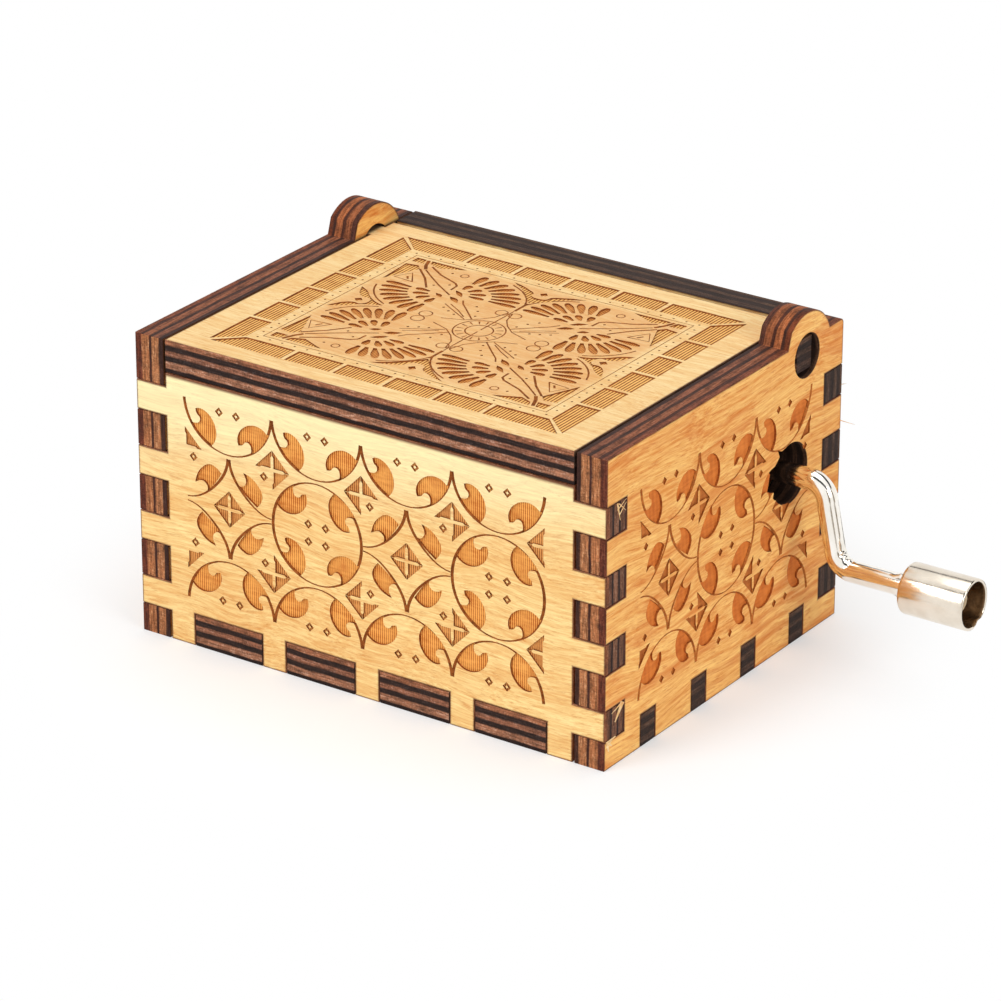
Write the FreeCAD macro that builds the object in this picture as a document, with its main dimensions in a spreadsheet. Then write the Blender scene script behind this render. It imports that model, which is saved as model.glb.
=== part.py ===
import FreeCAD, Part
import math
import os
import re
import Sketcher
from FreeCAD import Placement, Rotation, Vector

# Hand-cranked cylinder music box in a finger-jointed plywood case.
# +X points to the crank, +Y to the hinge at the back and +Z up; the origin is the
# centre of the case's underside. All sizes are in millimetres and degrees.

SIZES = [
    # plywood case
    ("box_width", 65, "outside, along X"),
    ("box_depth", 50, "outside, along Y"),
    ("box_height", 38, "underside to the lid's top face"),
    ("ply", 4, "thickness of every panel"),
    ("joint_gap", 0.08, "clearance beside each finger and tab"),
    ("corner_gap", 0.25, "front and back panels to the side panels' inner faces"),
    ("finger_count", 4, "fingers on each upright edge of the front and back"),
    ("finger_width", 3.7, "height of one finger"),
    ("finger_foot", 3.6, "underside to the lowest finger"),
    ("finger_top", 5.85, "top finger to the side panel's top edge"),
    ("tab_count", 4, "bottom-panel tabs on each edge"),
    ("long_tab_gap", 3.55, "wood between tabs, front and back"),
    ("long_tab_margin", 3.8, "inner corner to the first tab, front and back"),
    ("short_tab", 2.9, "width of a tab on the side edges"),
    ("short_tab_margin", 3.5, "inner corner to the first tab, side edges"),
    # lid and its integral pivots
    ("lid_side_gap", 0.3, "lid to each side panel"),
    ("lid_seat_gap", 0.15, "lid to the front panel's top edge"),
    ("lid_back_gap", 0.7, "lid to the back panel"),
    ("pivot_from_back", 8.1, "pivot axis to the outside of the back"),
    ("pivot_width", 3.2, "pivot tab, along Y"),
    ("pivot_recess", 0.4, "pivot tab's end below the side panel's face"),
    ("pivot_clear", 0.14, "pivot tab's corners to their hole"),
    ("ear_radius", 5.4, "rounded ear round the pivot hole"),
    ("ear_foot", 4.3, "pivot axis to the foot of the ear's front shoulder"),
    ("ear_shoulder", 2, "height of that shoulder above the top edge"),
    ("corner_round", 0.6, "side panels' top rear corner radius"),
    ("crank_hole", 3.75, "radius of the crank hole in the right panel"),
    # movement frame
    ("bed_thick", 1.5, "bedplate"),
    ("bed_clear", 0.5, "bedplate to whatever turns above it"),
    ("bed_right_gap", 4, "bedplate to the right side panel"),
    ("bed_back_gap", 1.2, "rear bracket to the back panel"),
    ("bed_lip", 2.4, "bedplate beyond the comb's heel"),
    ("post_thick", 1.5, "front bearing post, along Y"),
    ("post_half", 4, "half the post's width"),
    ("bracket_wall", 1.5, "sheet of the crank bracket"),
    ("bracket_rim", 3, "crank axis to the bracket's top and front edges"),
    ("foot_length", 5, "each bracket foot, along X"),
    ("foot_screw_in", 2.5, "foot screw to the foot's end"),
    # comb
    ("note_count", 18, "teeth of the comb and tracks of the drum"),
    ("note_pitch", 1.1, "tooth to tooth"),
    ("comb_slot", 0.18, "cut between two teeth"),
    ("comb_thick", 1, "comb plate"),
    ("comb_base", 5.4, "solid heel of the comb"),
    ("tooth_long", 11.5, "bass tooth"),
    ("tooth_short", 7.5, "treble tooth"),
    ("tip_gap", 0.12, "tooth tip to the pins' sweep"),
    ("weight_count", 8, "bass teeth that carry a lead weight"),
    ("weight_drop", 1.6, "height of a lead weight"),
    ("weight_long", 3.2, "longest lead weight, along X"),
    ("weight_step", 0.25, "each next weight is shorter by this"),
    ("weight_inset", 0.9, "weight to the tooth's tip"),
    # drum
    ("drum_radius", 6.5, "outside of the drum tube"),
    ("drum_wall", 0.8, "drum tube"),
    ("drum_margin", 0.3, "outer tracks to the tube's ends"),
    ("cap_thick", 1.5, "drum end cap and gear spigot"),
    ("arbor_radius", 1, "drum arbor"),
    ("run_gap", 0.05, "radial clearance of every shaft that turns"),
    ("end_play", 0.2, "drum hub to the rear bracket"),
    ("washer_room", 0.9, "drum end cap to the front post"),
    ("washer_thick", 0.2, "spring washer"),
    ("washer_radius", 2.6, "spring washer, outside"),
    ("pin_radius", 0.2, "drum pin"),
    ("pin_height", 0.5, "pin above the drum"),
    ("steps_per_turn", 36, "time steps round the drum"),
    # worm and gear
    ("gear_teeth", 22, "teeth of the drum gear"),
    ("gear_module", 0.6, "module of worm and gear"),
    ("gear_width", 3.2, "face width"),
    ("gear_neck", 1.9, "gear to the drum tube"),
    ("gear_neck_radius", 5, "neck between gear and drum"),
    ("gear_hub", 2.7, "hub behind the gear, along Y"),
    ("gear_hub_radius", 2.5, "hub behind the gear"),
    ("gear_side_gap", 0.8, "gear to the bracket's cheeks"),
    ("gash_angle", 25, "flank of the gear's tooth space"),
    ("thread_angle", 20, "flank of the worm's thread"),
    ("mesh_play", 0.33, "thread in its tooth space, both sides together"),
    ("worm_wall", 0.45, "rod to the worm's root"),
    ("worm_hub_wall", 0.6, "rod to the outside of the worm's hubs"),
    ("thread_turns", 4, "turns of the worm's thread"),
    ("bush_wall", 0.65, "crank bush"),
    ("bush_flange", 0.8, "thickness of the bush's flange"),
    ("bush_flange_radius", 2.8, "bush flange"),
    ("bush_proud", 0.8, "bush beyond the bracket's cheek"),
    ("thrust_gap", 0.1, "worm hub to each bush flange"),
    # crank and handle
    ("rod_radius", 1.3, "crank rod"),
    ("rod_tail", 0.3, "rod beyond the inner bush"),
    ("crank_throw", 10, "crank axis to handle axis"),
    ("crank_reach", 25, "outside of the case to the handle's end"),
    ("arm_out", 5.2, "outside of the case to the arm's upper bend"),
    ("arm_lean", 7, "arm leans outwards by this angle"),
    ("bend_radius", 2.6, "centre line of both bends"),
    ("crank_rest", 2, "arm at rest, forward of straight down"),
    ("handle_length", 8.5, "handle sleeve"),
    ("handle_radius", 3.1, "handle sleeve, outside"),
    ("handle_wall", 0.4, "handle sleeve"),
    ("handle_floor", 0.6, "closed inner end of the sleeve"),
    ("rod_short", 1.6, "rod's end inside the sleeve's open end"),
    ("ear_height", 0.5, "pinched ears above the rod"),
    ("ear_length", 1.3, "pinched ears, along the rod"),
    ("ear_thick", 0.7, "pinched ears, across the rod"),
    ("ear_gap", 0.15, "pinched ears to the sleeve's closed end"),
    # screws
    ("screw_radius", 0.8, "shank of the movement's screws"),
    ("screw_head_radius", 1.7, "their heads"),
    ("screw_head", 1.1, "height of their heads"),
    ("screw_grip", 2.6, "shank below the clamped piece"),
    ("case_screw_radius", 1.1, "shank of the screws through the bottom panel"),
    ("case_screw_head", 2.2, "radius of their countersunk heads"),
    ("case_screw_sink", 0.2, "heads below the underside"),
    ("case_screw_bite", 3.2, "shank above the bottom panel"),
    ("boss_radius", 2.2, "bedplate boss for the front case screw"),
    ("driver_slot", 0.4, "width of the screwdriver slots"),
    ("driver_depth", 0.5, "depth of the screwdriver slots"),
]

# places worked out from the sizes, as rules on the sheet
INNER_X = "(box_width / 2 - ply)"
INNER_Y = "(box_depth / 2 - ply)"
FINGER_PITCH = "((box_height - finger_top - finger_foot - finger_width) / (finger_count - 1))"
LONG_SPAN = f"(2 * {INNER_X} - 2 * long_tab_margin)"
LONG_TAB = f"(({LONG_SPAN} - (tab_count - 1) * long_tab_gap) / tab_count)"
LONG_PITCH = f"({LONG_TAB} + long_tab_gap)"
LONG_START = f"(long_tab_margin - {INNER_X})"
SHORT_SPAN = f"(2 * {INNER_Y} - 2 * short_tab_margin)"
SHORT_PITCH = f"(({SHORT_SPAN} - short_tab) / (tab_count - 1))"
SHORT_START = f"(short_tab_margin - {INNER_Y})"
HINGE_Y = "(box_depth / 2 - pivot_from_back)"
HINGE_Z = "(box_height - ply / 2)"
PIVOT_HOLE = "(sqrt((pivot_width / 2) ^ 2 + (ply / 2) ^ 2) + pivot_clear)"

GEAR_PITCH_R = "(gear_teeth * gear_module / 2)"
GEAR_OUTER = f"({GEAR_PITCH_R} + gear_module)"
GEAR_ROOT = f"({GEAR_PITCH_R} - 1.25 * gear_module)"
WORM_ROOT = "(rod_radius + worm_wall)"
WORM_PITCH_R = f"({WORM_ROOT} + 1.25 * gear_module)"
WORM_OUTER = f"({WORM_PITCH_R} + gear_module)"
THREAD_PITCH = "(pi * gear_module)"
LEAD_ANGLE = f"atan({THREAD_PITCH} / (2 * pi * {WORM_PITCH_R}))"
PIN_SWEEP = "(drum_radius + pin_height)"
CHEEK = f"({GEAR_OUTER} + gear_side_gap)"

DRUM_X = f"({INNER_X} - bed_right_gap - foot_length - bracket_wall - {CHEEK})"
DRUM_Z = f"(ply + bed_thick + bed_clear + max({GEAR_OUTER}; {PIN_SWEEP}))"
CRANK_Y = f"({INNER_Y} - bed_back_gap - bracket_wall - end_play - gear_hub - gear_width / 2)"
CRANK_Z = f"({DRUM_Z} + {GEAR_PITCH_R} + {WORM_PITCH_R})"
GEAR_FRONT = f"({CRANK_Y} - gear_width / 2)"
DRUM_REAR = f"({GEAR_FRONT} - gear_neck)"
DRUM_LONG = "(note_count * note_pitch + 2 * drum_margin)"
DRUM_FRONT = f"({DRUM_REAR} - {DRUM_LONG})"
POST_REAR = f"({DRUM_FRONT} - washer_room)"
BED_FRONT = f"({POST_REAR} - post_thick)"
BED_BACK = f"({INNER_Y} - bed_back_gap)"
BED_TOP = "(ply + bed_thick)"
BED_RIGHT = f"({INNER_X} - bed_right_gap)"
TIP_X = f"({DRUM_X} - {PIN_SWEEP} - tip_gap)"
HEEL_FRONT = f"({TIP_X} - tooth_long)"
HEEL_X = f"({HEEL_FRONT} - comb_base)"
COMB_Z = f"({DRUM_Z} - comb_thick / 2)"
COMB_FRONT = f"({DRUM_FRONT} + drum_margin)"
COMB_WIDE = "(note_count * note_pitch)"
BRACKET_FRONT = f"({CRANK_Y} - bracket_rim)"
ROD_START = f"({DRUM_X} - {CHEEK} - bracket_wall - bush_proud - rod_tail)"
HANDLE_END = "(box_width / 2 + crank_reach)"
HANDLE_START = f"({HANDLE_END} - handle_length)"
HANDLE_BORE = "(rod_radius + run_gap)"

# screw places, each an (x, y) pair of rules
HEEL_SCREW_X = f"({HEEL_X} + comb_base / 2)"
COMB_SCREWS = [
    (HEEL_SCREW_X, f"({COMB_FRONT} + {COMB_WIDE} * {share})") for share in (0.2, 0.8)
]
FOOT_SCREW_Y = f"(({BRACKET_FRONT} + {BED_BACK}) / 2)"
FOOT_REACH = f"({CHEEK} + bracket_wall + foot_length - foot_screw_in)"
BRACKET_SCREWS = [
    (f"({DRUM_X} {side} {FOOT_REACH})", FOOT_SCREW_Y) for side in "-+"
]
CASE_SCREWS = [
    (HEEL_SCREW_X, f"({COMB_FRONT} + {COMB_WIDE} / 2)"),
    (f"({BED_RIGHT} - foot_length / 2)", f"({BED_FRONT} + boss_radius)"),
]

NAMES = {alias for alias, _, _ in SIZES}

doc = FreeCAD.newDocument("music_box")
sheet = doc.addObject("Spreadsheet::Sheet", "Sizes")
for row_number, (alias, size, note) in enumerate(SIZES, start=1):
    sheet.set(f"A{row_number}", alias)
    sheet.set(f"B{row_number}", str(size))
    sheet.set(f"C{row_number}", note)
    sheet.setAlias(f"B{row_number}", alias)
doc.recompute()

subparts = []


def formula(rule):
    """Point every size name in a rule at its cell."""
    return re.sub(r"[a-z_]+", lambda word: f"Sizes.{word[0]}" if word[0] in NAMES else word[0], rule)


def number(rule):
    """Work a rule out now, as plain millimetres or degrees."""
    found = sheet.evalExpression(formula(rule))
    return float(getattr(found, "Value", found))


def bind(thing, rules):
    """Tie properties of an object to rules on the sheet."""
    for path, rule in rules.items():
        thing.setExpression(path, formula(rule))


def place(thing, across="0", along="0", up="0"):
    bind(thing, {"Placement.Base.x": across, "Placement.Base.y": along, "Placement.Base.z": up})


def keep(thing, label):
    """Register a finished sub-part under the name of its file."""
    thing.Label = label
    subparts.append(thing)
    return thing


def new_body(label, across="0", along="0", up="0", turn=None):
    """Start a PartDesign body at a place of its own."""
    body = doc.addObject("PartDesign::Body", label)
    if turn is not None:
        body.Placement = Placement(Vector(), turn)
    place(body, across, along, up)
    return keep(body, label)


def new_sketch(body, name, plane, lift="0"):
    """Start a sketch on one of the body's own origin planes, lifted along its normal."""
    drawing = body.newObject("Sketcher::SketchObject", name)
    support = next(item for item in body.Origin.OriginFeatures if item.Role == plane)
    drawing.AttachmentSupport = [(support, "")]
    drawing.MapMode = "FlatFace"
    bind(drawing, {"AttachmentOffset.Base.z": lift})
    return drawing


def constrain(drawing, rule, kind, *where):
    index = drawing.addConstraint(Sketcher.Constraint(kind, *where, number(rule)))
    drawing.setExpression(f"Constraints[{index}]", formula(rule))


def pin_point(drawing, edge, point, across, up):
    """Hold a point of a sketch at its two rules, measured from the sketch's origin."""
    constrain(drawing, across, "DistanceX", -1, 1, edge, point)
    constrain(drawing, up, "DistanceY", -1, 1, edge, point)


def polygon(drawing, corners):
    """Draw a closed loop of lines through corners, each a pair of rules."""
    spots = [Vector(number(across), number(up), 0) for across, up in corners]
    first = len(drawing.Geometry)
    drawing.addGeometry([Part.LineSegment(*pair) for pair in zip(spots, spots[1:] + spots[:1])])
    for step, (across, up) in enumerate(corners):
        previous = first + (step - 1) % len(corners)
        drawing.addConstraint(Sketcher.Constraint("Coincident", previous, 2, first + step, 1))
        pin_point(drawing, first + step, 1, across, up)


def rectangle(drawing, low_across, low_up, high_across, high_up):
    polygon(drawing, [
        (low_across, low_up), (high_across, low_up), (high_across, high_up), (low_across, high_up),
    ])


def circle(drawing, across, up, radius):
    edge = drawing.addGeometry(
        Part.Circle(Vector(number(across), number(up), 0), Vector(0, 0, 1), number(radius)))
    pin_point(drawing, edge, 3, across, up)
    constrain(drawing, radius, "Radius", edge)


def pad(body, drawing, length, flip=False, centred=False):
    """Raise a sketch into the body, along its normal unless flipped."""
    feature = body.newObject("PartDesign::Pad", drawing.Name + "_pad")
    feature.Profile = drawing
    feature.Reversed = flip
    feature.SideType = "Symmetric" if centred else "One side"
    bind(feature, {"Length": length})
    body.Tip = feature
    return feature


def cut(body, drawing, length):
    """Cut a sketch through the body, equally to both sides of its plane."""
    feature = body.newObject("PartDesign::Pocket", drawing.Name + "_cut")
    feature.Profile = drawing
    feature.SideType = "Symmetric"
    bind(feature, {"Length": length})
    body.Tip = feature
    return feature


def repeat(body, feature, axis, spacing, count):
    """Repeat a feature in a row along its sketch's H_Axis or V_Axis."""
    pattern = body.newObject("PartDesign::LinearPattern", feature.Name + "_row")
    pattern.Originals = [feature]
    pattern.Direction = (feature.Profile[0], [axis])
    pattern.Mode = "Spacing"
    bind(pattern, {"Offset": spacing, "Occurrences": count})
    body.Tip = pattern


def turned(label, profile, across, along, up, turn=None):
    """Turn a piece on its local X axis from (along the axis, radius) corners."""
    body = new_body(label, across, along, up, turn)
    outline = new_sketch(body, label + "_profile", "XZ_Plane")
    polygon(outline, profile)
    feature = body.newObject("PartDesign::Revolution", label + "_turn")
    feature.Profile = outline
    feature.ReferenceAxis = (outline, ["H_Axis"])
    feature.Angle = 360
    body.Tip = feature
    return body


ALONG_Y = Rotation(Vector(0, 0, 1), 90)


# ---------------------------------------------------------------- plywood case
def bottom_panel():
    """Floor of the case, with tabs through all four walls and countersunk screw holes."""
    body = new_body("bottom_panel")
    floor = new_sketch(body, "floor", "XY_Plane")
    rectangle(floor, f"-{INNER_X}", f"-{INNER_Y}", INNER_X, INNER_Y)
    pad(body, floor, "ply")
    long_bar = new_sketch(body, "long_bar", "XY_Plane")
    rectangle(long_bar, LONG_START, "-box_depth / 2", f"{LONG_START} + {LONG_TAB}", "box_depth / 2")
    repeat(body, pad(body, long_bar, "ply"), "H_Axis", LONG_PITCH, "tab_count")
    short_bar = new_sketch(body, "short_bar", "XY_Plane")
    rectangle(short_bar, "-box_width / 2", SHORT_START, "box_width / 2", f"{SHORT_START} + short_tab")
    repeat(body, pad(body, short_bar, "ply"), "V_Axis", SHORT_PITCH, "tab_count")
    shanks = new_sketch(body, "case_screw_holes", "XY_Plane")
    for across, along in CASE_SCREWS:
        circle(shanks, across, along, "case_screw_radius")
    doc.recompute()
    holes = body.newObject("PartDesign::Hole", "countersunk_holes")
    holes.Profile = shanks
    holes.Reversed = True
    holes.DepthType = "ThroughAll"
    holes.Threaded = False
    bind(holes, {"Diameter": "2 * case_screw_radius"})
    holes.HoleCutType = "Countersink"
    holes.HoleCutCustomValues = True
    holes.HoleCutCountersinkAngle = 90
    bind(holes, {"HoleCutDiameter": "2 * (case_screw_head + case_screw_sink)"})
    body.Tip = holes


def upright_panel(label, along, top):
    """Front or back wall: fingers on both upright edges and slots over the floor's tabs."""
    body = new_body(label, along=along)
    wall = new_sketch(body, label + "_wall", "XZ_Plane")
    half = f"({INNER_X} - corner_gap)"
    rectangle(wall, f"-{half}", "0", half, top)
    pad(body, wall, "ply", flip=True)
    finger = new_sketch(body, label + "_finger", "XZ_Plane")
    rectangle(finger, "-box_width / 2", "finger_foot", "box_width / 2", "finger_foot + finger_width")
    repeat(body, pad(body, finger, "ply", flip=True), "V_Axis", FINGER_PITCH, "finger_count")
    slot = new_sketch(body, label + "_slot", "XZ_Plane")
    rectangle(slot, f"{LONG_START} - joint_gap", "0",
              f"{LONG_START} + {LONG_TAB} + joint_gap", "ply + joint_gap")
    repeat(body, cut(body, slot, "3 * ply"), "H_Axis", LONG_PITCH, "tab_count")


def side_panel(label, across):
    """Side wall: slots for the fingers and tabs, and the ear with its pivot hole."""
    body = new_body(label, across=across)
    wall = new_sketch(body, label + "_wall", "YZ_Plane")
    rectangle(wall, "-box_depth / 2", "0", "box_depth / 2", "box_height")
    board = pad(body, wall, "ply")
    doc.recompute()
    corner = body.newObject("PartDesign::Fillet", label + "_corner")
    corner.Base = (board, [top_rear_edge(board.Shape)])
    bind(corner, {"Radius": "corner_round"})
    body.Tip = corner
    ear = new_sketch(body, label + "_ear", "YZ_Plane")
    circle(ear, HINGE_Y, HINGE_Z, "ear_radius")
    pad(body, ear, "ply")
    shoulder = new_sketch(body, label + "_shoulder", "YZ_Plane")
    rise = "(ply / 2 + ear_shoulder)"
    kink = f"({HINGE_Y} - sqrt(ear_radius ^ 2 - {rise} ^ 2))"
    polygon(shoulder, [
        (f"{HINGE_Y} - ear_foot", "box_height"), (kink, "box_height + ear_shoulder"),
        (f"{HINGE_Y} - 2 * ear_radius", "box_height + ear_shoulder"),
        (f"{HINGE_Y} - 2 * ear_radius", "box_height"),
    ])
    cut(body, shoulder, "3 * ply")
    pivot = new_sketch(body, label + "_pivot", "YZ_Plane")
    circle(pivot, HINGE_Y, HINGE_Z, PIVOT_HOLE)
    cut(body, pivot, "3 * ply")
    notch = new_sketch(body, label + "_notch", "YZ_Plane")
    low, high = "finger_foot - joint_gap", "finger_foot + finger_width + joint_gap"
    rectangle(notch, "-box_depth / 2", low, f"-{INNER_Y}", high)
    rectangle(notch, INNER_Y, low, "box_depth / 2", high)
    repeat(body, cut(body, notch, "3 * ply"), "V_Axis", FINGER_PITCH, "finger_count")
    slot = new_sketch(body, label + "_slot", "YZ_Plane")
    rectangle(slot, f"{SHORT_START} - joint_gap", "0",
              f"{SHORT_START} + short_tab + joint_gap", "ply + joint_gap")
    repeat(body, cut(body, slot, "3 * ply"), "H_Axis", SHORT_PITCH, "tab_count")
    return body


def top_rear_edge(shape):
    """Name the edge of a plain wall that runs across its top rear corner."""
    depth, height = number("box_depth / 2"), number("box_height")
    for index, edge in enumerate(shape.Edges, start=1):
        middle = edge.CenterOfMass
        if abs(middle.y - depth) < 1e-6 and abs(middle.z - height) < 1e-6:
            return f"Edge{index}"
    raise ValueError("the wall has no top rear edge")


def lid_panel():
    """Lid between the side panels, with a pivot tab at each end of its rear part."""
    body = new_body("lid_panel", up="box_height - ply")
    board = new_sketch(body, "board", "XY_Plane")
    half = f"({INNER_X} - lid_side_gap)"
    rectangle(board, f"-{half}", "-box_depth / 2", half, f"{INNER_Y} - lid_back_gap")
    pad(body, board, "ply")
    pivots = new_sketch(body, "pivots", "XY_Plane")
    reach = "(box_width / 2 - pivot_recess)"
    rectangle(pivots, f"-{reach}", f"{HINGE_Y} - pivot_width / 2",
              reach, f"{HINGE_Y} + pivot_width / 2")
    pad(body, pivots, "ply")


# -------------------------------------------------------------- movement frame
def bedplate():
    """Cast bedplate: comb pedestal, front bearing post and a boss for a case screw."""
    body = new_body("bedplate", up="ply")
    plate = new_sketch(body, "plate", "XY_Plane")
    rectangle(plate, f"{HEEL_X} - bed_lip", BED_FRONT, BED_RIGHT, BED_BACK)
    pad(body, plate, "bed_thick")
    pedestal = new_sketch(body, "pedestal", "XY_Plane")
    rectangle(pedestal, HEEL_X, COMB_FRONT, HEEL_FRONT, f"{COMB_FRONT} + {COMB_WIDE}")
    pad(body, pedestal, f"{COMB_Z} - ply")
    post = new_sketch(body, "post", "XY_Plane")
    rectangle(post, f"{DRUM_X} - post_half", BED_FRONT, f"{DRUM_X} + post_half", POST_REAR)
    pad(body, post, f"{DRUM_Z} + post_half - ply")
    boss = new_sketch(body, "boss", "XY_Plane")
    circle(boss, *CASE_SCREWS[1], "boss_radius")
    pad(body, boss, "bed_thick + case_screw_bite")
    bearing = new_sketch(body, "bearing", "XZ_Plane", lift=f"-{POST_REAR}")
    circle(bearing, DRUM_X, f"{DRUM_Z} - ply", "arbor_radius + run_gap")
    cut(body, bearing, "3 * post_thick")
    tapped = new_sketch(body, "case_screw_taps", "XY_Plane")
    for across, along in CASE_SCREWS:
        circle(tapped, across, along, "case_screw_radius")
    cut(body, tapped, "2 * case_screw_bite")
    comb_taps = new_sketch(body, "comb_screw_taps", "XY_Plane", lift=f"{COMB_Z} - ply")
    for across, along in COMB_SCREWS:
        circle(comb_taps, across, along, "screw_radius")
    cut(body, comb_taps, "2 * screw_grip")
    foot_taps = new_sketch(body, "bracket_screw_taps", "XY_Plane")
    for across, along in BRACKET_SCREWS:
        circle(foot_taps, across, along, "screw_radius")
    cut(body, foot_taps, "3 * bed_thick")


def worm_bracket():
    """Folded sheet bracket: two cheeks for the crank bushes, a rear wall and two feet."""
    body = new_body("worm_bracket", up=BED_TOP)
    walls = new_sketch(body, "bracket_walls", "XY_Plane")
    inner, outer = CHEEK, f"({CHEEK} + bracket_wall)"
    inner_back = f"{BED_BACK} - bracket_wall"
    polygon(walls, [
        (f"{DRUM_X} - {outer}", BRACKET_FRONT), (f"{DRUM_X} - {inner}", BRACKET_FRONT),
        (f"{DRUM_X} - {inner}", inner_back), (f"{DRUM_X} + {inner}", inner_back),
        (f"{DRUM_X} + {inner}", BRACKET_FRONT), (f"{DRUM_X} + {outer}", BRACKET_FRONT),
        (f"{DRUM_X} + {outer}", BED_BACK), (f"{DRUM_X} - {outer}", BED_BACK),
    ])
    pad(body, walls, f"{CRANK_Z} + bracket_rim - {BED_TOP}")
    feet = new_sketch(body, "bracket_feet", "XY_Plane")
    toe = f"({CHEEK} + bracket_wall + foot_length)"
    rectangle(feet, f"{DRUM_X} - {toe}", BRACKET_FRONT, f"{DRUM_X} - {inner}", BED_BACK)
    rectangle(feet, f"{DRUM_X} + {inner}", BRACKET_FRONT, f"{DRUM_X} + {toe}", BED_BACK)
    pad(body, feet, "bracket_wall")
    bushes = new_sketch(body, "bush_holes", "YZ_Plane", lift=DRUM_X)
    circle(bushes, CRANK_Y, f"{CRANK_Z} - {BED_TOP}", "rod_radius + run_gap + bush_wall")
    cut(body, bushes, f"3 * {outer}")
    bearing = new_sketch(body, "arbor_hole", "XZ_Plane", lift=f"-{BED_BACK}")
    circle(bearing, DRUM_X, f"{DRUM_Z} - {BED_TOP}", "arbor_radius + run_gap")
    cut(body, bearing, "3 * bracket_wall")
    holes = new_sketch(body, "foot_holes", "XY_Plane")
    for across, along in BRACKET_SCREWS:
        circle(holes, across, along, "screw_radius + run_gap")
    cut(body, holes, "3 * bracket_wall")


def crank_bush(label, side):
    """Flanged bearing bush in one cheek; side is -1 for the inner one, 1 for the outer."""
    bore, body_r = "rod_radius + run_gap", "rod_radius + run_gap + bush_wall"
    inner, outer = f"({CHEEK} - bush_flange)", f"({CHEEK} + bracket_wall + bush_proud)"
    profile = [
        (f"{side} * {inner}", bore), (f"{side} * {outer}", bore), (f"{side} * {outer}", body_r),
        (f"{side} * {CHEEK}", body_r), (f"{side} * {CHEEK}", "bush_flange_radius"),
        (f"{side} * {inner}", "bush_flange_radius"),
    ]
    turned(label, profile, DRUM_X, CRANK_Y, CRANK_Z)


# ------------------------------------------------------------------------ comb
def cutter_box(label, across, along, up, length, width, height):
    box = doc.addObject("Part::Box", label)
    place(box, across, along, up)
    bind(box, {"Length": length, "Width": width, "Height": height})
    return box


def cylinder(label, across, along, up, radius, height):
    rod = doc.addObject("Part::Cylinder", label)
    place(rod, across, along, up)
    bind(rod, {"Radius": radius, "Height": height})
    return rod


def tooth_reach(tooth):
    """Length of a tooth, falling evenly from bass to treble."""
    return f"(tooth_long - (tooth_long - tooth_short) * {tooth} / (note_count - 1))"


def comb():
    """Steel comb: a plate slit into teeth that get shorter towards the treble."""
    plate = cutter_box("comb_blank", HEEL_X, COMB_FRONT, COMB_Z,
                       "comb_base + tooth_long", COMB_WIDE, "comb_thick")
    tools = []
    for tooth in range(1, round(number("note_count"))):
        tools.append(cutter_box(
            f"comb_slot_{tooth}", f"{TIP_X} - {tooth_reach(tooth)}",
            f"{COMB_FRONT} + {tooth} * note_pitch - comb_slot / 2", f"{COMB_Z} - comb_thick",
            f"{tooth_reach(tooth)} + comb_base", "comb_slot", "3 * comb_thick"))
    for index, (across, along) in enumerate(COMB_SCREWS):
        tools.append(cylinder(f"comb_hole_{index}", across, along, f"{COMB_Z} - comb_thick",
                              "screw_radius + run_gap", "3 * comb_thick"))
    slots = doc.addObject("Part::MultiFuse", "comb_cuts")
    slots.Shapes = tools
    slit = doc.addObject("Part::Cut", "comb")
    slit.Base = plate
    slit.Tool = slots
    keep(slit, "comb")


def comb_lead_weights():
    """Lead blocks under the bass teeth, shorter from note to note."""
    blocks = []
    for tooth in range(round(number("weight_count"))):
        long = f"(weight_long - {tooth} * weight_step)"
        blocks.append(cutter_box(
            f"weight_{tooth}", f"{TIP_X} - weight_inset - {long}",
            f"{COMB_FRONT} + {tooth} * note_pitch + comb_slot / 2", f"{COMB_Z} - weight_drop",
            long, "note_pitch - comb_slot", "weight_drop"))
    group = doc.addObject("Part::Compound", "comb_lead_weights")
    group.Links = blocks
    keep(group, "comb_lead_weights")


# ------------------------------------------------------------------------ drum
def drum_tube():
    """Thin tube that carries the pins."""
    body = new_body("drum_tube", DRUM_X, DRUM_REAR, DRUM_Z)
    ring = new_sketch(body, "ring", "XZ_Plane")
    circle(ring, "0", "0", "drum_radius")
    circle(ring, "0", "0", "drum_radius - drum_wall")
    pad(body, ring, DRUM_LONG)


def drum_end_cap():
    """Disc in the drum's front end, bored for the arbor."""
    rim = "drum_radius - drum_wall"
    profile = [("0", "arbor_radius"), ("cap_thick", "arbor_radius"), ("cap_thick", rim), ("0", rim)]
    turned("drum_end_cap", profile, DRUM_X, DRUM_FRONT, DRUM_Z, ALONG_Y)


def drum_arbor():
    """Steel arbor from the front post to the rear wall of the bracket."""
    arbor = cylinder("drum_arbor", DRUM_X, f"{BED_BACK} - run_gap", DRUM_Z,
                     "arbor_radius", f"{BED_BACK} - {BED_FRONT} - 2 * run_gap")
    arbor.Placement = Placement(Vector(), Rotation(Vector(1, 0, 0), 90))
    place(arbor, DRUM_X, f"{BED_BACK} - run_gap", DRUM_Z)
    keep(arbor, "drum_arbor")


def drum_spring_washer():
    """Dished washer that takes up the drum's end play at the front post."""
    inner, rim = "arbor_radius + run_gap", "washer_radius"
    dish = "(washer_room - 2 * run_gap)"
    profile = [
        ("run_gap", inner), ("run_gap + washer_thick", inner),
        (f"run_gap + {dish}", rim), (f"run_gap + {dish} - washer_thick", rim),
    ]
    turned("drum_spring_washer", profile, DRUM_X, POST_REAR, DRUM_Z, ALONG_Y)


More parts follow.
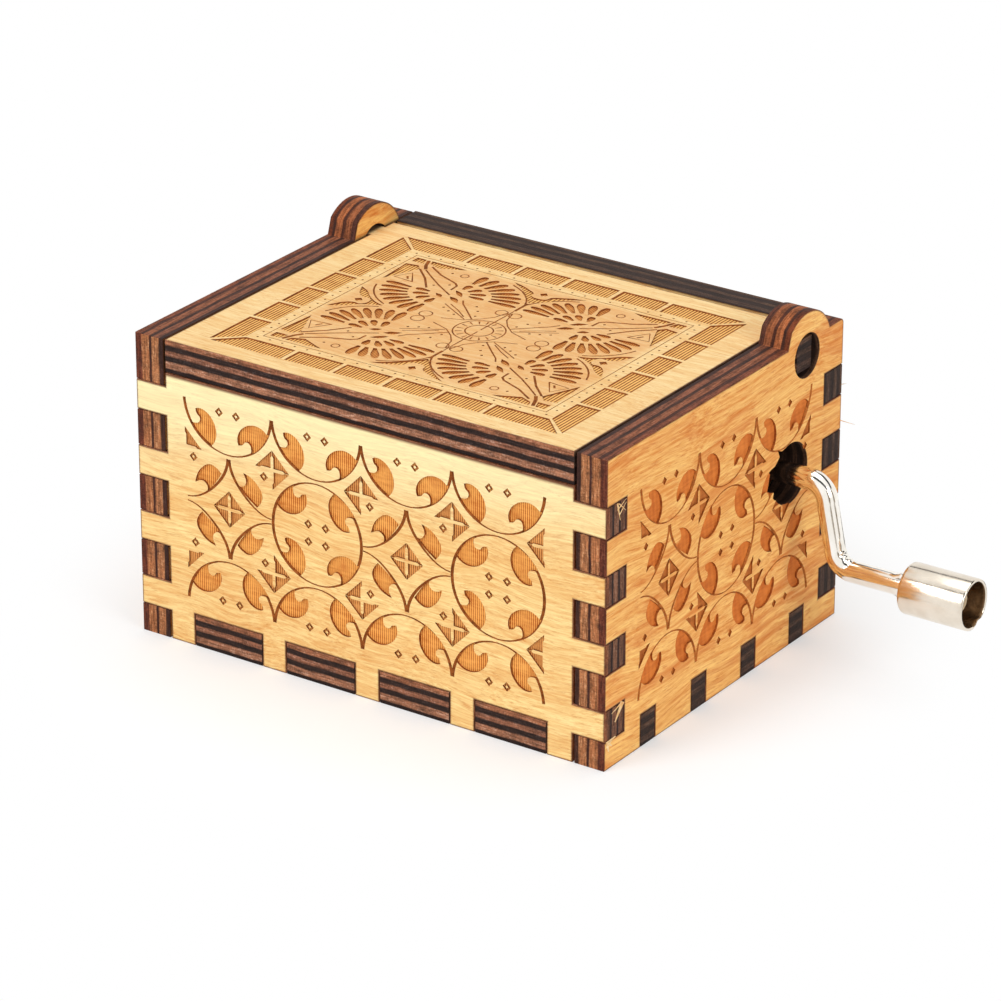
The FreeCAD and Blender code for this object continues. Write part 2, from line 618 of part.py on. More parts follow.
def drum_pins():
    """Pins in eighteen tracks: a scale up and down with thirds and fifths above it."""
    notes, steps = round(number("note_count")), round(number("steps_per_turn"))
    places = set()
    for step in range(steps):
        climb = step if step < notes else 2 * notes - 1 - step
        places.add((step, climb % notes))
        if step % 2 == 0:
            places.add((step, (climb + 4) % notes))
        if step % 4 == 0:
            places.add((step, (climb + 9) % notes))
    foot, tip = number("drum_radius - drum_wall / 2"), number(PIN_SWEEP)
    first = number(f"{COMB_FRONT} + note_pitch / 2")
    pins = []
    for step, track in sorted(places):
        angle = 2 * math.pi * (step + 0.5) / steps
        outward = Vector(math.cos(angle), 0, math.sin(angle))
        centre = Vector(number(DRUM_X), first + track * number("note_pitch"), number(DRUM_Z))
        pins.append(Part.makeCylinder(number("pin_radius"), tip - foot, centre + outward * foot, outward))
    group = doc.addObject("Part::Feature", "drum_pins")
    group.Shape = Part.makeCompound(pins)
    keep(group, "drum_pins")


def drum_gear():
    """Worm gear with tilted tooth spaces, a spigot in the drum tube and a rear hub."""
    body = new_body("drum_gear", DRUM_X, CRANK_Y, DRUM_Z)
    disc = new_sketch(body, "gear_disc", "XZ_Plane")
    circle(disc, "0", "0", GEAR_OUTER)
    pad(body, disc, "gear_width", centred=True)
    gash = new_sketch(body, "gash", "XZ_Plane")
    gash.AttachmentOffset = Placement(Vector(), Rotation(Vector(0, -1, 0), 1))
    bind(gash, {"AttachmentOffset.Rotation.Angle": LEAD_ANGLE})
    half = f"({THREAD_PITCH} / 4 + mesh_play / 4)"
    slope = "tan(gash_angle)"
    root_half = f"({half} - ({GEAR_PITCH_R} - {GEAR_ROOT}) * {slope})"
    mouth, mouth_half = f"({GEAR_OUTER} + gear_module)", f"({half} + 2 * gear_module * {slope})"
    polygon(gash, [
        (f"-{root_half}", GEAR_ROOT), (root_half, GEAR_ROOT), (mouth_half, mouth), (f"-{mouth_half}", mouth),
    ])
    space = cut(body, gash, "2 * gear_width")
    teeth = body.newObject("PartDesign::PolarPattern", "gashes")
    teeth.Originals = [space]
    teeth.Axis = (disc, ["N_Axis"])
    teeth.Angle = 360
    bind(teeth, {"Occurrences": "gear_teeth"})
    body.Tip = teeth
    neck = new_sketch(body, "gear_neck_disc", "XZ_Plane", lift="gear_width / 2")
    circle(neck, "0", "0", "gear_neck_radius")
    pad(body, neck, "gear_neck")
    spigot = new_sketch(body, "gear_spigot", "XZ_Plane", lift="gear_width / 2 + gear_neck")
    circle(spigot, "0", "0", "drum_radius - drum_wall")
    pad(body, spigot, "cap_thick")
    hub = new_sketch(body, "gear_hub_disc", "XZ_Plane", lift="-gear_width / 2")
    circle(hub, "0", "0", "gear_hub_radius")
    pad(body, hub, "gear_hub", flip=True)
    bore = new_sketch(body, "gear_bore", "XZ_Plane")
    circle(bore, "0", "0", "arbor_radius")
    cut(body, bore, "4 * (gear_width + gear_neck + cap_thick + gear_hub)")


# ------------------------------------------------------------- worm and crank
def worm():
    """Single-start right-hand worm with a plain hub at each end, pressed on the rod."""
    middle = f"(thread_turns * {THREAD_PITCH} / 2)"
    body = new_body("worm", f"{DRUM_X} - {middle}", CRANK_Y, CRANK_Z, Rotation(Vector(0, 1, 0), 90))
    half = f"({CHEEK} - bush_flange - thrust_gap)"
    core = new_sketch(body, "worm_core", "XY_Plane", lift=f"{middle} - {half}")
    circle(core, "0", "0", WORM_ROOT)
    pad(body, core, f"2 * {half}")
    flank = "tan(thread_angle)"
    tip_half = f"({THREAD_PITCH} / 4 - mesh_play / 4 - gear_module * {flank})"
    sunk = "(gear_module / 4)"
    foot_half = f"({THREAD_PITCH} / 4 - mesh_play / 4 + (1.25 * gear_module + {sunk}) * {flank})"
    ridge = new_sketch(body, "thread_ridge", "XZ_Plane")
    polygon(ridge, [
        (f"{WORM_ROOT} - {sunk}", f"-{foot_half}"), (WORM_OUTER, f"-{tip_half}"),
        (WORM_OUTER, tip_half), (f"{WORM_ROOT} - {sunk}", foot_half),
    ])
    thread = body.newObject("PartDesign::AdditiveHelix", "worm_thread")
    thread.Profile = ridge
    thread.ReferenceAxis = (ridge, ["V_Axis"])
    thread.Mode = "pitch-turns-angle"
    thread.LeftHanded = False
    bind(thread, {"Pitch": THREAD_PITCH, "Turns": "thread_turns"})
    body.Tip = thread
    hub_long = f"({half} - {middle} - {foot_half} - thrust_gap)"
    for name, start in (("near_hub", f"{middle} - {half}"), ("far_hub", f"{middle} + {half} - {hub_long}")):
        hub = new_sketch(body, name, "XY_Plane", lift=start)
        circle(hub, "0", "0", "rod_radius + worm_hub_wall")
        pad(body, hub, hub_long)
    bore = new_sketch(body, "worm_bore", "XY_Plane", lift=middle)
    circle(bore, "0", "0", "rod_radius")
    cut(body, bore, f"3 * {half}")


def crank_rod():
    """Bent steel rod: shaft, leaning arm and handle journal with pinched ears."""
    body = new_body("crank_rod", "0", CRANK_Y, CRANK_Z, Rotation(Vector(-1, 0, 0), number("crank_rest")))
    bind(body, {"Placement.Rotation.Angle": "crank_rest"})
    path = new_sketch(body, "rod_path", "XZ_Plane")
    start, bend, throw = number(ROD_START), number("bend_radius"), number("crank_throw")
    elbow, lean = number("box_width / 2 + arm_out"), math.radians(number("arm_lean"))
    upper = Vector(elbow - bend, -bend, 0)
    lower = Vector(elbow + bend + throw * math.tan(lean), bend - throw, 0)
    out, down = Vector(math.cos(lean), math.sin(lean), 0) * bend, Vector(0, bend, 0)
    stop = Vector(number(f"{HANDLE_END} - rod_short"), -throw, 0)
    path.addGeometry([
        Part.LineSegment(Vector(start, 0, 0), upper + down),
        Part.ArcOfCircle(Part.Circle(upper, Vector(0, 0, 1), bend), lean, math.pi / 2),
        Part.LineSegment(upper + out, lower - out),
        Part.ArcOfCircle(Part.Circle(lower, Vector(0, 0, 1), bend), math.pi + lean, 1.5 * math.pi),
        Part.LineSegment(lower - down, stop),
    ])
    for first, first_end, second, second_end in ((0, 2, 1, 2), (1, 1, 2, 1), (2, 2, 3, 1), (3, 2, 4, 1)):
        path.addConstraint(Sketcher.Constraint("Tangent", first, first_end, second, second_end))
    path.addConstraint(Sketcher.Constraint("Horizontal", 0))
    path.addConstraint(Sketcher.Constraint("Horizontal", 4))
    pin_point(path, 0, 1, ROD_START, "0")
    pin_point(path, 4, 2, f"{HANDLE_END} - rod_short", "-crank_throw")
    constrain(path, "bend_radius", "Radius", 1)
    constrain(path, "bend_radius", "Radius", 3)
    constrain(path, "box_width / 2 + arm_out - bend_radius", "DistanceX", -1, 1, 1, 3)
    constrain(path, "arm_lean - 90", "Angle", 2)
    end = new_sketch(body, "rod_section", "YZ_Plane", lift=ROD_START)
    circle(end, "0", "0", "rod_radius")
    rod = body.newObject("PartDesign::AdditivePipe", "bent_rod")
    rod.Profile = end
    rod.Spine = path
    rod.Transition = "Transformed"
    body.Tip = rod
    ears = new_sketch(body, "pinched_ears", "XZ_Plane")
    reach = "(rod_radius + ear_height)"
    for middle in (f"({HANDLE_START} - ear_gap - ear_length / 2)",
                   f"({HANDLE_START} + handle_floor + ear_gap + ear_length / 2)"):
        polygon(ears, [
            (f"{middle} - ear_length / 2", "-crank_throw"), (middle, f"-crank_throw - {reach}"),
            (f"{middle} + ear_length / 2", "-crank_throw"), (middle, f"-crank_throw + {reach}"),
        ])
    pad(body, ears, "ear_thick", centred=True)


def handle_sleeve():
    """Drawn steel sleeve, closed round the rod at its inner end and open outside."""
    bore = f"({HANDLE_BORE})"
    profile = [
        ("0", bore), ("handle_floor", bore), ("handle_floor", "handle_radius - handle_wall"),
        ("handle_length", "handle_radius - handle_wall"), ("handle_length", "handle_radius"),
        ("0", "handle_radius"),
    ]
    turned("handle_sleeve", profile, HANDLE_START,
           f"{CRANK_Y} - crank_throw * sin(crank_rest)", f"{CRANK_Z} - crank_throw * cos(crank_rest)")


# ---------------------------------------------------------------------- screws
def slotted_screw(label, across, along, seat, head, radius, shank, length):
    """Cheese-head screw, head up, its head sitting on the height given as seat."""
    body = doc.addObject("Part::MultiFuse", label + "_blank")
    body.Shapes = [
        cylinder(label + "_head", across, along, seat, radius, head),
        cylinder(label + "_shank", across, along, f"{seat} - {length}", shank, f"{length} + {head} / 2"),
    ]
    groove = cutter_box(label + "_groove", f"{across} - {radius}", f"{along} - driver_slot / 2",
                        f"{seat} + {head} - driver_depth", f"2 * {radius}", "driver_slot", "2 * driver_depth")
    screw = doc.addObject("Part::Cut", label)
    screw.Base = body
    screw.Tool = groove
    return screw


def screw_group(label, spots, seat, length):
    """Screws of one kind, kept together as one sub-part."""
    group = doc.addObject("Part::Compound", label)
    group.Links = [
        slotted_screw(f"{label}_{index}", across, along, seat,
                      "screw_head", "screw_head_radius", "screw_radius", length)
        for index, (across, along) in enumerate(spots)
    ]
    keep(group, label)


def case_screws():
    """Countersunk screws from below, through the bottom panel into the bedplate."""
    screws = []
    for index, (across, along) in enumerate(CASE_SCREWS):
        cone = doc.addObject("Part::Cone", f"case_head_{index}")
        place(cone, across, along, "case_screw_sink")
        bind(cone, {"Radius1": "case_screw_head", "Radius2": "case_screw_radius",
                    "Height": "case_screw_head - case_screw_radius"})
        shank = cylinder(f"case_shank_{index}", across, along, "case_screw_head - case_screw_radius",
                         "case_screw_radius", "ply + case_screw_bite - case_screw_head + case_screw_radius")
        blank = doc.addObject("Part::MultiFuse", f"case_blank_{index}")
        blank.Shapes = [cone, shank]
        groove = cutter_box(f"case_groove_{index}", f"{across} - case_screw_head",
                            f"{along} - driver_slot / 2", "case_screw_sink - driver_depth",
                            "2 * case_screw_head", "driver_slot", "2 * driver_depth")
        screw = doc.addObject("Part::Cut", f"case_screw_{index}")
        screw.Base = blank
        screw.Tool = groove
        screws.append(screw)
    group = doc.addObject("Part::Compound", "case_screws")
    group.Links = screws
    keep(group, "case_screws")


bottom_panel()
upright_panel("front_panel", "-box_depth / 2", "box_height - ply - lid_seat_gap")
upright_panel("back_panel", INNER_Y, "box_height")
side_panel("left_side_panel", "-box_width / 2")
right = side_panel("right_side_panel", INNER_X)
crank_opening = new_sketch(right, "crank_opening", "YZ_Plane")
circle(crank_opening, CRANK_Y, CRANK_Z, "crank_hole")
cut(right, crank_opening, "3 * ply")
lid_panel()
bedplate()
worm_bracket()
crank_bush("inner_crank_bush", -1)
crank_bush("outer_crank_bush", 1)
comb()
comb_lead_weights()
drum_tube()
drum_end_cap()
drum_arbor()
drum_spring_washer()
drum_pins()
drum_gear()
worm()
crank_rod()
handle_sleeve()
screw_group("comb_screws", COMB_SCREWS, f"({COMB_Z} + comb_thick)", "(comb_thick + screw_grip)")
screw_group("bracket_screws", BRACKET_SCREWS, f"({BED_TOP} + bracket_wall)", "(bracket_wall + bed_thick)")
case_screws()
doc.recompute()

faults = [item.Name for item in doc.Objects if "Invalid" in item.State or "Error" in item.State]
faults += [item.Label for item in subparts if item.Shape.isNull() or not item.Shape.isValid()]
for item in doc.Objects:
    if item.TypeId in ("PartDesign::Pocket", "PartDesign::Hole"):
        if item.Shape.Volume > item.BaseFeature.Shape.Volume - 1e-6:
            faults.append(item.Name + " cuts nothing")
if faults:
    raise ValueError("not written, faults in: " + ", ".join(faults))

os.makedirs("parts", exist_ok=True)
for item in subparts:
    item.Shape.exportStep(f"parts/{item.Label}.step")
    print(f"{item.Label}: {len(item.Shape.Solids)} solids, {item.Shape.Volume:.1f} mm3")
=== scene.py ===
import math

import bmesh
import bpy
from mathutils import Matrix, Vector


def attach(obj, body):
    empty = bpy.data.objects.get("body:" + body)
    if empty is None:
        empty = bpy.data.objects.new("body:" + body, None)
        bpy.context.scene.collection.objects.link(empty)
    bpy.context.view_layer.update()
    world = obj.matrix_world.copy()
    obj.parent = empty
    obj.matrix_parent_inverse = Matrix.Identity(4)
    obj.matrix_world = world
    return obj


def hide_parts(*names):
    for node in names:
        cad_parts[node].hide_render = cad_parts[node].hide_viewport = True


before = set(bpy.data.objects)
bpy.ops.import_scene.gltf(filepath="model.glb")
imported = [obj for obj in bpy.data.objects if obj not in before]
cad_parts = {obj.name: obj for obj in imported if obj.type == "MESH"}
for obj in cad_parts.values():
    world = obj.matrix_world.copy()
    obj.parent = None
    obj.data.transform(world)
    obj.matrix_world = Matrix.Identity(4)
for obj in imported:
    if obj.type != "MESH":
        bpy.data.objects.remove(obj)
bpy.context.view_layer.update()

# Bottom panel
# A board of five-ply birch, 4 mm thick, with a tab wherever a wall has a slot for it.
# It is laser cut, so its edges are charred: the cross plies almost black, the long plies brown.

MM = 0.001
PLY = 4.0


def tint(red, green, blue):
    """A colour given in screen values from 0 to 255, as the linear values that Blender mixes."""
    parts = [value / 255 for value in (red, green, blue)]
    linear = [part / 12.92 if part < 0.04045 else ((part + 0.055) / 1.055) ** 2.4 for part in parts]
    return (*linear, 1.0)


class Wire:
    """A socket in a material's nodes. Arithmetic on one adds the Math nodes for it."""

    def __init__(self, tree, socket):
        self.tree = tree
        self.socket = socket

    def node(self, kind, settings=None, inputs=None, output=0):
        """Add a shader node of this kind, set it up, fill its inputs, and return an output."""
        made = self.tree.nodes.new("ShaderNode" + kind)
        for name, value in (settings or {}).items():
            if name == "stops":
                stops = made.color_ramp.elements
                while len(stops) < len(value):
                    stops.new(1.0)
                for stop, (place, shade) in zip(stops, value):
                    stop.position = place
                    stop.color = shade
            else:
                setattr(made, name, value)
        for name, value in (inputs or {}).items():
            if isinstance(value, Wire):
                self.tree.links.new(value.socket, made.inputs[name])
            else:
                made.inputs[name].default_value = value
        return Wire(self.tree, made.outputs[output])

    def maths(self, operation, first, second=0.0):
        return self.node("Math", {"operation": operation}, {0: first, 1: second})

    def __add__(self, other):
        return self.maths("ADD", self, other)

    __radd__ = __add__

    def __sub__(self, other):
        return self.maths("SUBTRACT", self, other)

    def __rsub__(self, other):
        return self.maths("SUBTRACT", other, self)

    def __mul__(self, other):
        return self.maths("MULTIPLY", self, other)

    __rmul__ = __mul__

    def __truediv__(self, other):
        return self.maths("DIVIDE", self, other)

    def scaled(self, factor):
        """The colour or vector times a number."""
        return self.node("VectorMath", {"operation": "SCALE"}, {0: self, "Scale": factor})

    def along(self, axis):
        """How far along x, y or z (0, 1 or 2) a place is."""
        return self.node("SeparateXYZ", None, {0: self}, output=axis)

    def size(self):
        """The value without its sign."""
        return self.maths("ABSOLUTE", self)

    def bump(self, strength, distance):
        """A bump of this height map. The distance is in millimetres."""
        inputs = {"Height": self, "Strength": strength, "Distance": distance * MM}
        return self.node("Bump", None, inputs)

    def step(self, low, high, bottom=0.0, top=1.0):
        """A soft step from bottom to top as the value goes from low to high."""
        inputs = {"Value": self, "From Min": low, "From Max": high, "To Min": bottom, "To Max": top}
        return self.node("MapRange", {"interpolation_type": "SMOOTHSTEP"}, inputs)

    def mix(self, first, second):
        """The first colour where the value is 0 and the second where it is 1."""
        inputs = {0: self, 6: first, 7: second}
        return self.node("Mix", {"data_type": "RGBA"}, inputs, output=2)


def finish(name, roughness=0.5, metallic=0.0, specular=0.5):
    """A new material. Returns it, its shader, and the place on the object in millimetres."""
    material = bpy.data.materials.new(name)
    material.use_nodes = True
    tree = material.node_tree
    shader = tree.nodes["Principled BSDF"]
    shader.inputs["Roughness"].default_value = roughness
    shader.inputs["Metallic"].default_value = metallic
    shader.inputs["Specular IOR Level"].default_value = specular
    coordinates = tree.nodes.new("ShaderNodeTexCoord")
    place = Wire(tree, coordinates.outputs["Object"]).scaled(1 / MM)
    return material, shader, place


def into(shader, name, wire):
    """Join a wire to one of the shader's inputs."""
    wire.tree.links.new(wire.socket, shader.inputs[name])


EVEN = (1.0, 1.0, 1.0)


def stretched(place, stretch, scale, detail=2.0, offset=0.0, roughness=0.5):
    """Noise whose grain is longest along the axis with the smallest stretch."""
    inputs = {"Vector": place, "Scale": stretch, "Location": (offset, offset, offset)}
    moved = place.node("Mapping", None, inputs)
    inputs = {"Vector": moved, "Scale": scale, "Detail": detail, "Roughness": roughness}
    return moved.node("TexNoise", None, inputs)


def grain_stretch(grain, along, across=1.0):
    """Scales for the three axes: along the grain axis, and across it."""
    return tuple(along if axis == grain else across for axis in range(3))


def dimmed(colour, *shares):
    """The colour with its red, green and blue each cut to a share."""
    return (*[channel * share for channel, share in zip(colour, shares)], 1.0)


def veneer(name, grain, pale, warm, seed, flamed=0.3, stain_and_painted_light=None):
    """Sanded birch face veneer. Grain is the axis it runs along; pale and warm are its two tones.

    The face attribute from board() is near 1 beside a cut and 0 away from it. There the veneer
    is darkened, partly as the laser's browning and partly as painted shade in the joints' gaps.
    The stain function, which adds real stains, painted light and painted shade, is given the place
    and the wood's colour, and returns the colour with its change.
    """
    material, shader, place = finish(name, roughness=0.55, specular=0.3)
    inputs = {"Vector": place, "Scale": 0.07, "Detail": 1.0}
    swirl = place.node("TexNoise", None, inputs, output=1)
    inputs = {0: swirl, 1: grain_stretch(grain, 0.0, 3.2), 2: place}
    bent = place.node("VectorMath", {"operation": "MULTIPLY_ADD"}, inputs)
    broad = stretched(bent, grain_stretch(grain, 0.06), 0.22, 3.0, seed)
    flame = stretched(bent, grain_stretch(grain, 0.07), 0.65, 4.0, seed + 5.0, 0.6)
    streaks = stretched(bent, grain_stretch(grain, 0.045), 2.1, 4.0, seed + 3.0, 0.7)
    fibres = stretched(bent, grain_stretch(grain, 0.06), 4.8, 4.0, seed + 7.0, 0.78)
    pores = stretched(bent, grain_stretch(grain, 0.11), 3.6, 3.0, seed + 11.0, 0.7)
    tone = broad.step(0.34, 0.66) * 0.24 + streaks.step(0.38, 0.62) * 0.38
    tone = tone + fibres.step(0.40, 0.60) * 0.38
    warm = tint(*warm)
    wood = tone.mix(tint(*pale), warm)
    flames = flame.step(0.48, 0.66) * (streaks * 1.2 + 0.2)
    wood = (flames * flamed).mix(wood, dimmed(warm, 0.90, 0.70, 0.46))
    line = pores.step(0.50, 0.66) * fibres.step(0.44, 0.58)
    wood = (line * 0.55).mix(wood, dimmed(warm, 0.80, 0.54, 0.30))
    if stain_and_painted_light:
        wood = stain_and_painted_light(place, wood)
    burn = place.node("Attribute", {"attribute_name": "burn"}, output=2)
    ragged = burn * (fibres * 1.2 + 0.4)
    # laser browning beside each cut, made darker as painted shade in the joints' gaps
    wood = (ragged.step(0.05, 0.95) * 0.9).mix(wood, tint(104, 54, 24))
    into(shader, "Base Color", wood)
    into(shader, "Roughness", streaks.step(0.3, 0.7, 0.50, 0.64))
    height = fibres * 0.6 + streaks * 0.35 - line * 0.5
    into(shader, "Normal", height.bump(0.4, 0.1))
    return material


SOOT = (44, 28, 23)


def charred(name, axis, outer, inward, plies, seed, streaky=0.6):
    """The laser-cut edge of a board whose plies are stacked along this axis.

    Plies lists each band from the outer face inwards: how deep it reaches, and its colour. Streaky
    is how much paler the flecks are where a fibre is less burnt.
    """
    material, shader, place = finish(name, roughness=0.62, specular=0.15)
    depth = (place.along(axis) - outer) * inward
    wander = stretched(place, grain_stretch(axis, 0.3, 0.30), 0.9, 3.0, seed)
    level = (depth + (wander - 0.5) * 0.3) / PLY
    stops = []
    top = 0.0
    for reach, *shade in plies:
        stops.append((top / PLY + 0.02, tint(*shade)))
        stops.append((reach / PLY - 0.02, tint(*shade)))
        top = reach
    wood = level.node("ValToRGB", {"stops": stops}, {0: level})
    streaks = stretched(place, grain_stretch(axis, 1.0, 0.08), 4.0, 4.0, seed + 5.0, 0.75)
    blotch = stretched(place, grain_stretch(axis, 0.6, 0.5), 1.1, 3.0, seed + 2.0)
    ticks = stretched(place, grain_stretch(axis, 0.8, 1.5), 3.2, 3.0, seed + 9.0, 0.75)
    specks = stretched(place, grain_stretch(axis, 1.0, 0.3), 5.0, 2.0, seed + 13.0, 0.7)
    shade = streaks.step(0.38, 0.62) * 0.65 + ticks.step(0.38, 0.62) * 0.35
    wood = shade.mix(wood.scaled(0.4), wood.scaled(1.6))
    wood = (blotch.step(0.50, 0.72) * 0.45).mix(wood, tint(*SOOT))
    fleck = specks.step(0.52, 0.63) * shade.step(0.30, 0.65)
    pale = wood.node("VectorMath", {"operation": "MULTIPLY"}, {0: wood, 1: (1.5, 2.1, 2.7)})
    wood = (fleck * streaky).mix(wood, pale)
    into(shader, "Base Color", wood)
    height = streaks * 0.6 + ticks * 0.3
    into(shader, "Normal", height.bump(0.6, 0.15))
    return material


def mesh_of(shape, name):
    """Turn a finished bmesh into a mesh."""
    mesh = bpy.data.meshes.new(name)
    shape.to_mesh(mesh)
    shape.free()
    return mesh


def linked(name, data):
    """A new object in the scene for this mesh, curve, lamp or camera."""
    made = bpy.data.objects.new(name, data)
    bpy.context.scene.collection.objects.link(made)
    return made


def coat(mesh, *materials):
    """Add these materials to a mesh."""
    for material in materials:
        mesh.materials.append(material)


def board(node, axis, kind, bevel=0.06, halo=0.24):
    """A copy of a panel's mesh in millimetres, its seams merged and its corners just broken.

    Faces square to the axis get material 0, and the function kind says which one a cut edge gets.
    A strip of the face beside each cut is marked to be darkened, as the laser's browning and as
    painted shade in the joints' gaps, but not round a bore (material 3).
    """
    shape = bmesh.new()
    shape.from_mesh(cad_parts[node].data)
    bmesh.ops.scale(shape, vec=[1 / MM] * 3, verts=shape.verts)
    bmesh.ops.remove_doubles(shape, verts=shape.verts, dist=0.0005)
    bmesh.ops.dissolve_limit(shape, angle_limit=math.radians(1), verts=shape.verts, edges=shape.edges)
    corners = [edge for edge in shape.edges if edge.is_manifold and edge.calc_face_angle(0) > 1.0]
    how = {"segments": 1, "profile": 0.5, "affect": "EDGES", "clamp_overlap": True, "material": -1}
    bmesh.ops.bevel(shape, geom=corners, offset=bevel, **how)
    burn = shape.faces.layers.float.new("burn")
    shape.normal_update()
    flat = [face for face in shape.faces if abs(face.normal[axis]) > 0.99]
    for face in shape.faces:
        face.smooth = False
        face.material_index = 0 if abs(face.normal[axis]) > 0.99 else kind(face)
    # the strip beside each cut: laser browning, and painted shade for the joints' gaps
    for share, width in ((0.9, halo * 0.3), (0.5, halo * 0.3), (0.2, halo * 0.4)):
        strip = bmesh.ops.inset_region(
            shape, faces=flat, thickness=width, use_even_offset=True, use_boundary=True
        )
        for face in strip["faces"]:
            face[burn] = 0.0 if kind(face) == 3 else share
    return mesh_of(shape, node + "_board")


def fitted(name, mesh, body, node):
    """Make a mesh in millimetres a finished piece. It stands for a CAD node, if one is given."""
    mesh.transform(Matrix.Scale(MM, 4))
    piece = linked(name, mesh)
    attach(piece, body)
    if node:
        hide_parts(node)


# The last band of LONG_EDGE, darker than any charred ply, is painted shade on the edge's inner side:
# the gap under the lid's edge and the floor under the bottom panel's.
LONG_EDGE = (
    (0.60, 146, 92, 64), (1.30, 44, 28, 23), (1.95, 136, 88, 66), (2.65, 42, 27, 22),
    (3.50, 152, 102, 76), (4.00, 32, 16, 12),
)
END_EDGE = (
    (0.60, 124, 72, 44), (1.15, 98, 60, 42), (1.55, 38, 23, 19), (2.45, 118, 78, 56),
    (2.85, 38, 23, 19), (3.65, 108, 70, 50), (4.00, 60, 32, 22),
)
DARK_EDGE = (
    (0.50, 86, 60, 44), (1.30, 46, 32, 26), (1.90, 76, 54, 41), (2.80, 44, 30, 24),
    (3.60, 70, 49, 38), (4.00, 44, 29, 23),
)


def end_of_x(face):
    """Material 2 for cuts square to the x axis and 1 for the others."""
    return 2 if abs(face.normal.x) > 0.7 else 1


bottom = board("bottom_panel", 2, end_of_x)
coat(
    bottom,
    veneer("bottom_veneer", 0, (250, 222, 164), (234, 180, 112), 1.0),
    charred("bottom_long_edge", 2, PLY, -1.0, LONG_EDGE, 2.0, 0.7),
    charred("bottom_end_edge", 2, PLY, -1.0, DARK_EDGE, 2.5, 0.3),
)
fitted("bottom_board", bottom, "case", "bottom_panel")

# Front and back panels
# Birch plywood, laser cut with fingers at the ends. Both are engraved on the outside with a lattice
# of circles and ogees, a leaf in each corner of them and crossed diamonds in between.

HALF_DEPTH = 25.0
FRONT_TOP = 34.0
LEAF_DEEP = 0.28
DIAMOND_DEEP = LEAF_DEEP * 0.7
FRONT_MIDDLE = -0.6
FRONT_PITCH = 12.5
FRONT_LOW = 5.95
FRONT_HIGH = 31.8
OGEE, ROUND = "ogee", "round"

# the lattice as drawn: a column's width, the drawing's height, the row above the middle one, and the
# tier of diamonds between them
DRAWN_PITCH = 12.45
DRAWN_HEIGHT = 25.4
ROW_LIFT = 12.9
TIER_LIFT = 6.42


def engraved_floor(name, hatch, pale, deep, contrast=0.42, pitch=0.28):
    """The scorched floor of a pocket. Hatch is the axis that the beam's lines are spaced along."""
    material, shader, place = finish(name, roughness=0.7, specular=0.15)
    across = place.along(hatch)
    wander = stretched(place, EVEN, 0.7, 2.0, 4.0)
    phase = across * (2 * math.pi / pitch) + wander * 1.2
    line = phase.maths("SINE", phase)
    fibres = stretched(place, grain_stretch(hatch, 0.15), 3.0, 3.0, 6.0)
    blotch = stretched(place, EVEN, 0.5, 3.0, 8.0)
    tone = (line * contrast + 0.44) + (fibres - 0.5) * 0.9 + (blotch - 0.5) * 1.1
    into(shader, "Base Color", tone.step(0.0, 1.0).mix(tint(*pale), tint(*deep)))
    height = fibres * 0.4 - line * 0.4
    into(shader, "Normal", height.bump(0.6, 0.1))
    return material


def burnt(name, pale, deep):
    """The burnt wall of a pocket, and the whole of a narrow groove."""
    material, shader, place = finish(name, roughness=0.75, specular=0.1)
    blotch = stretched(place, EVEN, 1.4, 3.0, 2.0)
    speck = stretched(place, EVEN, 6.0, 1.0, 5.0)
    tone = blotch.step(0.35, 0.65) * 0.6 + speck.step(0.4, 0.7) * 0.4
    into(shader, "Base Color", tone.mix(tint(*pale), tint(*deep)))
    return material


def settled(made):
    """The mesh that an object comes to with its modifiers. The object is removed."""
    bpy.context.view_layer.update()
    depsgraph = bpy.context.evaluated_depsgraph_get()
    mesh = bpy.data.meshes.new_from_object(made.evaluated_get(depsgraph))
    bpy.data.objects.remove(made)
    return mesh


def meshed(curve, name):
    """A curve's own mesh, merged along the edges of its caps."""
    mesh = settled(linked(name, curve))
    bpy.data.curves.remove(curve)
    shape = bmesh.new()
    shape.from_mesh(mesh)
    bmesh.ops.remove_doubles(shape, verts=shape.verts, dist=0.002)
    bmesh.ops.recalc_face_normals(shape, faces=shape.faces)
    shape.to_mesh(mesh)
    shape.free()
    return mesh


def pockets(name, outlines, depth):
    """Solids for flat-bottomed pockets. An outline is a list of (across, up, is a corner)."""
    curve = bpy.data.curves.new(name, "CURVE")
    curve.dimensions = "2D"
    curve.fill_mode = "BOTH"
    curve.extrude = depth
    curve.resolution_u = 5
    for outline in outlines:
        spline = curve.splines.new("BEZIER")
        spline.bezier_points.add(len(outline) - 1)
        spline.use_cyclic_u = True
        for point, (across, up, corner) in zip(spline.bezier_points, outline):
            point.co = (across, up, 0.0)
            point.handle_left_type = "VECTOR" if corner else "AUTO"
            point.handle_right_type = point.handle_left_type
    mesh = meshed(curve, name)
    for polygon in mesh.polygons:
        polygon.material_index = 0 if abs(polygon.normal.z) > 0.9 else 1
    return mesh


def grooves(name, strokes):
    """Solids for V-shaped grooves. A stroke is (points, closed), a point (across, up, half width)."""
    curve = bpy.data.curves.new(name, "CURVE")
    curve.dimensions = "3D"
    curve.bevel_depth = 1.0
    curve.bevel_resolution = 0
    curve.use_fill_caps = True
    for points, closed in strokes:
        spline = curve.splines.new("POLY")
        spline.points.add(len(points) - 1)
        spline.use_cyclic_u = closed
        for point, (across, up, half) in zip(spline.points, points):
            point.co = (across, up, 0.0, 1.0)
            point.radius = half
    return meshed(curve, name)


